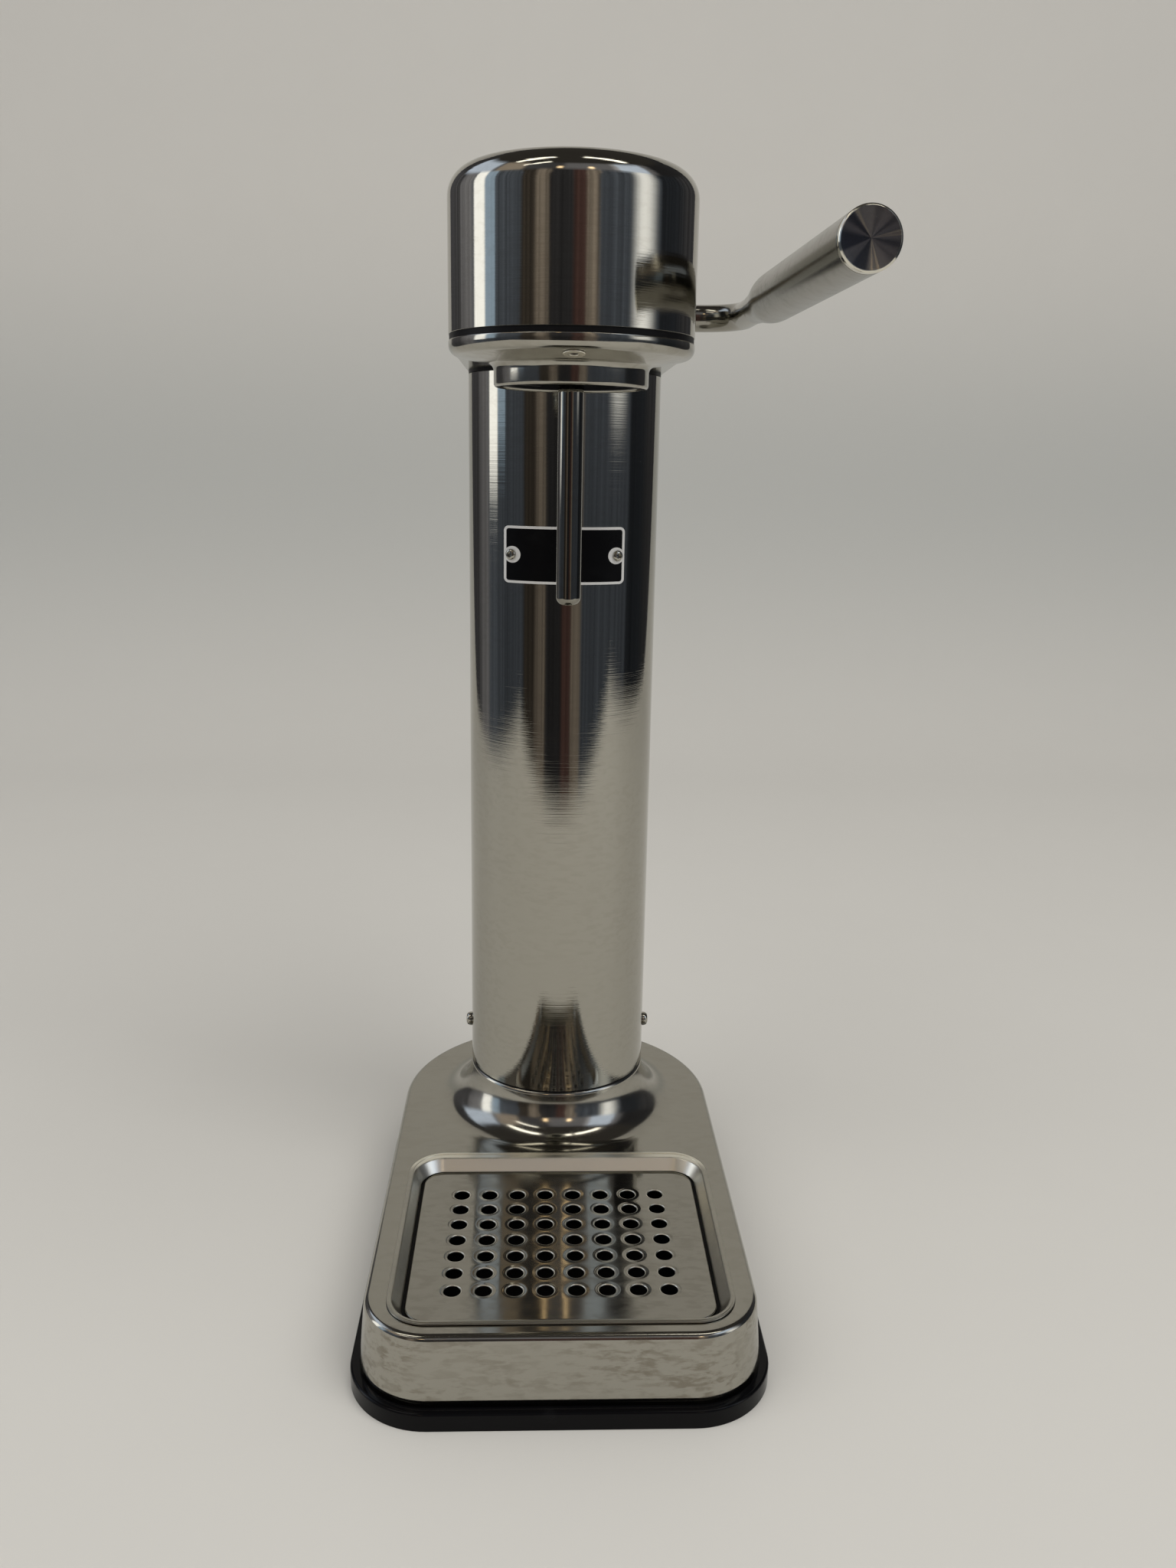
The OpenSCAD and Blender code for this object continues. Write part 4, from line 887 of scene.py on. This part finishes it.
class BuildLever(Operator):
    """Bent rod, flared grip and turned end cap"""

    bl_idname = "water_maker.lever"
    bl_label = "Lever"

    def execute(self, context):
        s = context.scene.machine_sizes
        centre = PIVOT + Vector((s.bend_x - s.bend, -s.bend, 0))
        bm = bmesh.new()
        far_end, in_grip = 33.5 * MM, 22 * MM
        start = Matrix.Translation(PIVOT + Vector((-far_end, 0, 0))) @ Matrix.Rotation(pi / 2, 4, "Y")
        bmesh.ops.create_circle(bm, cap_ends=False, segments=40, radius=s.rod, matrix=start)
        geom = carry(bm, list(bm.edges), Vector((s.bend_x - s.bend + far_end, 0, 0)))
        geom = turn(bm, geom, centre, (0, 0, -1), 90 - s.splay * 180 / pi, 3)
        forward = Vector((sin(s.splay), -cos(s.splay), 0))
        carry(bm, geom, forward * (s.grip_start + in_grip))
        bmesh.ops.holes_fill(bm, edges=[e for e in bm.edges if e.is_boundary])
        steel = polished_steel(
            "rod_steel", brush=(300, 60, 300), rough=0.12, stains=0.15, smear=0.04, seed=6.2,
            grain=0.003 * MM, tint=0.8,
        )
        new_piece(bm, "lever_rod_polished", steel, ["lever_rod"])
        self.place = (
            Matrix.Translation(centre + Vector((s.bend * cos(s.splay), s.bend * sin(s.splay), 0)))
            @ Matrix.Rotation(s.splay, 4, "Z")
            @ Matrix.Rotation(pi / 2, 4, "X")
        )
        end = s.grip_start + s.grip_flare + s.grip_length
        neck, steps = s.rod + 0.6 * MM, 16
        flare = [
            (neck + (s.grip - neck) * (1 - cos(pi * i / steps)) / 2, s.grip_start + s.grip_flare * i / steps)
            for i in range(steps + 1)
        ]
        e, wall = 0.2 * MM, 1.8 * MM
        outside = [(neck - e, s.grip_start)] + flare[1:] + [(s.grip, end - e), (s.grip - e, end)]
        section = [(s.rod + 0.1 * MM, s.grip_start)] + outside + [(s.grip - wall, end)]
        bm = bmesh.new()
        sweep(bm, section, ring(0, 0, 0), step=5)
        fill_level(bm, end)
        fill_level(bm, s.grip_start, up=False)
        bm.transform(self.place)
        grip = polished_steel(
            "grip_steel", brush=(900, 12, 900), rough=0.16, stains=0.3, smear=0.04, seed=8.3,
            grain=0.004 * MM, tint=0.62,
        )
        new_piece(bm, "lever_grip_polished", grip, ["lever_grip"])
        self.build_cap(s, end)
        return {"FINISHED"}

    def build_cap(self, s, end):
        bm = bmesh.new()
        g, chamfer, joint, e = s.grip, 0.7 * MM, 0.5 * MM, 0.1 * MM
        inside, face = end - 1 * MM, end + s.grip_cap
        sunk = face - 0.05 * MM
        section = [
            (g - joint, inside),
            (g - joint, end + joint),
            (g - e, end + joint),
            (g, end + joint + e),
            (g, face - chamfer),
            (g - 0.5 * chamfer, face - 0.35 * chamfer),
            (g - chamfer, face),
            (g - chamfer - 0.3 * MM, sunk),
        ]
        sweep(bm, section, ring(0, 0, 0), step=5)
        fill_level(bm, sunk)
        fill_level(bm, inside, up=False)
        bm.transform(self.place)
        centre = self.place @ Vector((0, 0, end))
        new_piece(bm, "grip_cap_turned", self.turned_steel(centre, g - chamfer), ["grip_cap"], sharp=25)

    @staticmethod
    def turned_steel(centre, edge):
        """Faced end with concentric tool marks in its bump, and the sectors they would make of the light
        painted in its colour as dark and grey sectors with a few lighter wedges.
        """
        m = Finish("turned_steel")
        spot = m.add("ShaderNodeTexCoord", output="Object")
        flat = m.add(
            "ShaderNodeMapping",
            {},
            {"Vector": spot, "Location": (-centre.x, 0.0, -centre.z), "Scale": (1.0, 0.0, 1.0)},
        )
        radius = m.add("ShaderNodeVectorMath", {"operation": "LENGTH"}, {0: flat}, "Value")
        x, _, z = m.split(flat)
        bearing = m.maths("ARCTAN2", z, x)
        circle = m.maths("SINE", bearing), m.maths("COSINE", bearing)
        # Painted reflections: sectors and a few wedges of light by bearing round the centre
        fan = m.noise(m.join(*circle), scale=1.3, detail=1.0)
        glints = m.noise(m.join(*circle, 4.2), scale=2.2, detail=1.0)
        painted_glint = m.band(glints, 0.60, 0.66, 0.02)
        rings = m.maths("SINE", radius * (2 * pi / TOOL_STEP))
        grain = m.noise(m.place((1, 0, 1)), scale=900.0)
        # Painted reflection colours: dark bluish grey and a paler grey for the sectors; the painted glint
        # wedges take the steel's own colour
        dark = m.mix(grain * 0.3, (0.075, 0.086, 0.108), (0.035, 0.04, 0.05))
        painted_sectors = m.mix(m.step(fan, 0.42, 0.60), dark, (0.25, 0.262, 0.275))
        face = m.mix(painted_glint, painted_sectors, tuple(tones().steel))
        rim = m.step(radius, edge, edge + 0.2 * MM)
        return m.shade(
            base_color=m.mix(rim, face, dim(tones().steel, 1.8)),
            metallic=1.0,
            roughness=(grain - 0.5) * 0.1 + 0.25 - rim * 0.15,
            normal=m.bump(rings + grain * 0.2, 0.006 * MM),
        )


class BuildInside(Operator):
    """Frame, valves, gas fittings, springs and screws inside the machine"""

    bl_idname = "water_maker.inside"
    bl_label = "Inner parts"

    def execute(self, context):
        alloy = machined_metal("cast_alloy", tones().alloy, 0.45)
        paint(alloy, "head_frame", "column_head_ring", "lever_cam")
        brass = machined_metal("turned_brass", tones().brass, 0.3)
        paint(brass, "nozzle_nut", "safety_valve", "safety_cap", "relief_valve", "relief_cap")
        paint(brass, "hose_nuts", "gas_socket", "socket_nut", "lever_bushes")
        plain = machined_metal("plain_steel", (0.5, 0.5, 0.5), 0.34)
        paint(plain, "base_screws", "shell_studs", "stud_nuts", "frame_screws", "block_screws")
        paint(plain, "safety_poppet", "relief_poppet", "push_pin", "shaft_clips", "lever_spring", "cam_screw")
        for joint in frame["joints"]:
            for rule in joint.get("deforming_nodes", []):
                self.build_spring(plain, joint, rule)
        return {"FINISHED"}

    @staticmethod
    def build_spring(material, joint, rule):
        """A spring of the joint, dressed on a mesh of its own."""
        spring = dress(rule["node"], material, 0.0)
        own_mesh(spring)


class BuildStage(Operator):
    """Pale sweep, soft lamps, surroundings and the camera"""

    bl_idname = "water_maker.stage"
    bl_label = "Stage"

    def execute(self, context):
        self.build_sweep()
        self.build_world()
        self.add_lamp("key", spot=(0.9, -0.95, 1.8), aim=(0.1, -0.4, 0), wide=1.3, power=20.0)
        self.add_lamp("fill", spot=(-1.2, -0.85, 1.6), aim=(-0.1, -0.4, 0), wide=1.6, power=10.5)
        self.build_camera()
        context.scene.view_settings.view_transform = "Standard"
        return {"FINISHED"}

    @staticmethod
    def build_sweep():
        bm = bmesh.new()
        left, right, front = -0.95, 1.25, -0.72
        back, radius, height = 0.75, 0.65, 1.55
        geom = draw_wire(bm, [(left, front, 0), (right, front, 0)])
        geom = carry(bm, geom, Vector((0, back - front, 0)))
        geom = turn(bm, geom, (0, back, radius), (1, 0, 0), 90, 3)
        carry(bm, geom, Vector((0, 0, height)))
        mesh = bpy.data.meshes.new("sweep")
        bm.to_mesh(mesh)
        bm.free()
        mesh.shade_smooth()
        floor = bpy.data.objects.new("sweep", mesh)
        bpy.context.scene.collection.objects.link(floor)
        m = Finish("pale_paper")
        tooth = m.noise(m.place(), scale=500.0, detail=2.0)
        _, _, height = m.split(m.place())
        # Painted shade: the darker band where the backdrop curves up
        shade = m.mix(m.band(height, 0.1, 0.5, 0.2), tuple(tones().floor), tuple(tones().backdrop_painted_shade))
        cloud = m.noise(m.place(), scale=9.0, detail=4.0, rough=0.6)
        shade = m.mix(cloud * 0.12, shade, tuple(tones().floor_cloud))
        m.shade(base_color=shade, roughness=0.65, normal=m.bump(tooth, 0.02 * MM))
        mesh.materials.append(m.material)

    def build_world(self):
        """A room as polished steel shows it: dark, with a window on each side and lamps above.

        Bearings and heights are in degrees. Tubes lie in a ceiling one metre up.
        """
        world = bpy.data.worlds.new("studio")
        bpy.context.scene.world = world
        w = Tree(world)
        way = w.add("ShaderNodeTexCoord", output="Generated")
        x, y, z = w.split(way)
        turned = w.maths("ARCTAN2", x, -y) * (180 / pi)
        height = w.maths("ARCSINE", z) * (180 / pi)
        drift = w.noise(w.join(turned * 0.05, height * 0.06), scale=1.0)
        walls = self.ring_of_shades(w, turned + (drift - 0.5) * 9.0, ROOM_WALLS)
        upper = self.ring_of_shades(w, turned, ROOM_UPPER)
        streaks = w.noise(w.join(turned * 0.5, height * 0.012), scale=1.0, detail=6.0, rough=0.7)
        walls = w.mix(1.0, walls, w.step(streaks, 0.3, 0.7, 0.4, 1.6), "MULTIPLY")
        walls = w.mix(1.0, walls, w.step(height, -4.0, 14.0, 0.8, 1.35), "MULTIPLY")
        window_l = w.band(turned, -101.0, -87.0, 1.5) * w.band(height, -0.8, 36.0, 1.5)
        sky = w.band(turned, -87.0, -75.0, 1.0) * w.band(height, 1.0, 36.0, 1.5)
        blind = w.step(turned, 50.0, 64.0) * w.step(turned, 66.0, 83.0, 1.0, 0.0)
        window_r = blind * w.band(height, 3.0, 36.0, 2.0)
        seen = w.mix(window_l * 2.0 + window_r * 1.5, walls, (1.0, 1.0, 1.0), "ADD")
        seen = w.mix(sky * 0.7, seen, (0.55, 0.75, 1.0), "ADD")
        seen = w.mix(w.step(height, 25.0, 33.0), seen, w.mix(1.0, upper, (1.4, 1.4, 1.4), "MULTIPLY"))
        seen = w.mix(w.step(height, 46.0, 54.0), seen, (0.05, 0.046, 0.042))
        lamps = w.band(turned, -17.0, -12.0, 1.5) + w.band(turned, 13.0, 18.0, 1.5)
        lamps = lamps * w.band(height, 31.0, 38.0, 1.5)
        seen = w.mix(lamps * 3.5, seen, (1.0, 0.74, 0.45), "ADD")
        across, along = x / z, -y / z
        near_pair = w.band(across, -0.75, -0.20, 0.03) + w.band(across, 0.10, 0.62, 0.03)
        near_tubes = w.band(along, 0.20, 0.30, 0.02) * near_pair
        far_tube = w.band(along, 0.62, 0.68, 0.02) * w.band(across, -0.9, -0.35, 0.03)
        over = w.step(z, 0.5, 0.6)
        seen = w.mix((near_tubes + far_tube) * over * 4.2, seen, (1.0, 0.96, 0.88), "ADD")
        rays = w.nodes.new("ShaderNodeLightPath").outputs
        mirror = w.maths("MAXIMUM", Value(w, rays["Is Glossy Ray"]), Value(w, rays["Is Transmission Ray"]))
        camera = Value(w, rays["Is Camera Ray"])
        soft = w.add("ShaderNodeBackground", {}, {"Color": (1.0, 0.985, 0.96, 1.0), "Strength": 0.5})
        sharp = w.add("ShaderNodeBackground", {}, {"Color": seen, "Strength": 1.0})
        pale = w.add("ShaderNodeBackground", {}, {"Color": (0.43, 0.425, 0.40, 1.0), "Strength": 1.0})
        inner = w.add("ShaderNodeMixShader", {}, {0: mirror, 1: soft, 2: sharp})
        outer = w.add("ShaderNodeMixShader", {}, {0: camera, 1: inner, 2: pale})
        w.add("ShaderNodeOutputWorld", {}, {"Surface": outer})

    @staticmethod
    def ring_of_shades(w, turned, shades):
        stops = [((bearing + 180) / 360, shade) for bearing, shade in shades]
        return w.add("ShaderNodeValToRGB", {"stops": stops}, {0: (turned + 180.0) * (1 / 360)})

    @staticmethod
    def add_lamp(name, spot, aim, wide, power):
        lamp = bpy.data.lights.new(name, "AREA")
        lamp.shape = "SQUARE"
        lamp.size = wide
        lamp.energy = power
        lamp.color = (1.0, 0.98, 0.95)
        stand = bpy.data.objects.new(name, lamp)
        stand.location = spot
        stand.rotation_euler = (Vector(aim) - Vector(spot)).to_track_quat("-Z", "Y").to_euler()
        stand.visible_glossy = False
        bpy.context.scene.collection.objects.link(stand)

    @staticmethod
    def build_camera():
        lens = bpy.data.cameras.new("view")
        lens.sensor_width = 36.0
        lens.lens = 28.99
        lens.clip_start = 0.01
        camera = bpy.data.objects.new("view", lens)
        yaw, pitch, roll = radians(-2.326), radians(14.207), radians(-1.007)
        camera.matrix_world = (
            Matrix.Translation((-0.009757, -0.54970, 0.32395))
            @ Matrix.Rotation(yaw, 4, "Z")
            @ Matrix.Rotation(pi / 2 - pitch, 4, "X")
            @ Matrix.Rotation(-roll, 4, "Z")
        )
        bpy.context.scene.collection.objects.link(camera)
        bpy.context.scene.camera = camera


STEPS = (
    BuildStage, BuildFoot, BuildBaseShell, BuildDripTray, BuildDripPlate, BuildColumn, BuildBadge,
    BuildDish, BuildCap, BuildNozzle, BuildLever, BuildInside,
)


class WaterMakerPanel(Panel):
    """Lists the building steps and the sizes in the sidebar"""

    bl_idname = "VIEW3D_PT_water_maker"
    bl_label = "Water maker"
    bl_space_type = "VIEW_3D"
    bl_region_type = "UI"
    bl_category = "Water maker"

    def draw(self, context):
        for step in STEPS:
            self.layout.operator(step.bl_idname)
        for group in (context.scene.machine_sizes, context.scene.machine_finish):
            for name in group.__annotations__:
                self.layout.prop(group, name)


CLASSES = (MachineSizes, MachineFinish, *STEPS, WaterMakerPanel)


def register():
    for cls in CLASSES:
        bpy.utils.register_class(cls)
    bpy.types.Scene.machine_sizes = PointerProperty(type=MachineSizes)
    bpy.types.Scene.machine_finish = PointerProperty(type=MachineFinish)


def unregister():
    del bpy.types.Scene.machine_finish
    del bpy.types.Scene.machine_sizes
    for cls in reversed(CLASSES):
        bpy.utils.unregister_class(cls)


def main():
    register()
    for step in STEPS:
        group, name = step.bl_idname.split(".")
        getattr(getattr(bpy.ops, group), name)()


if __name__ == "__main__":
    main()
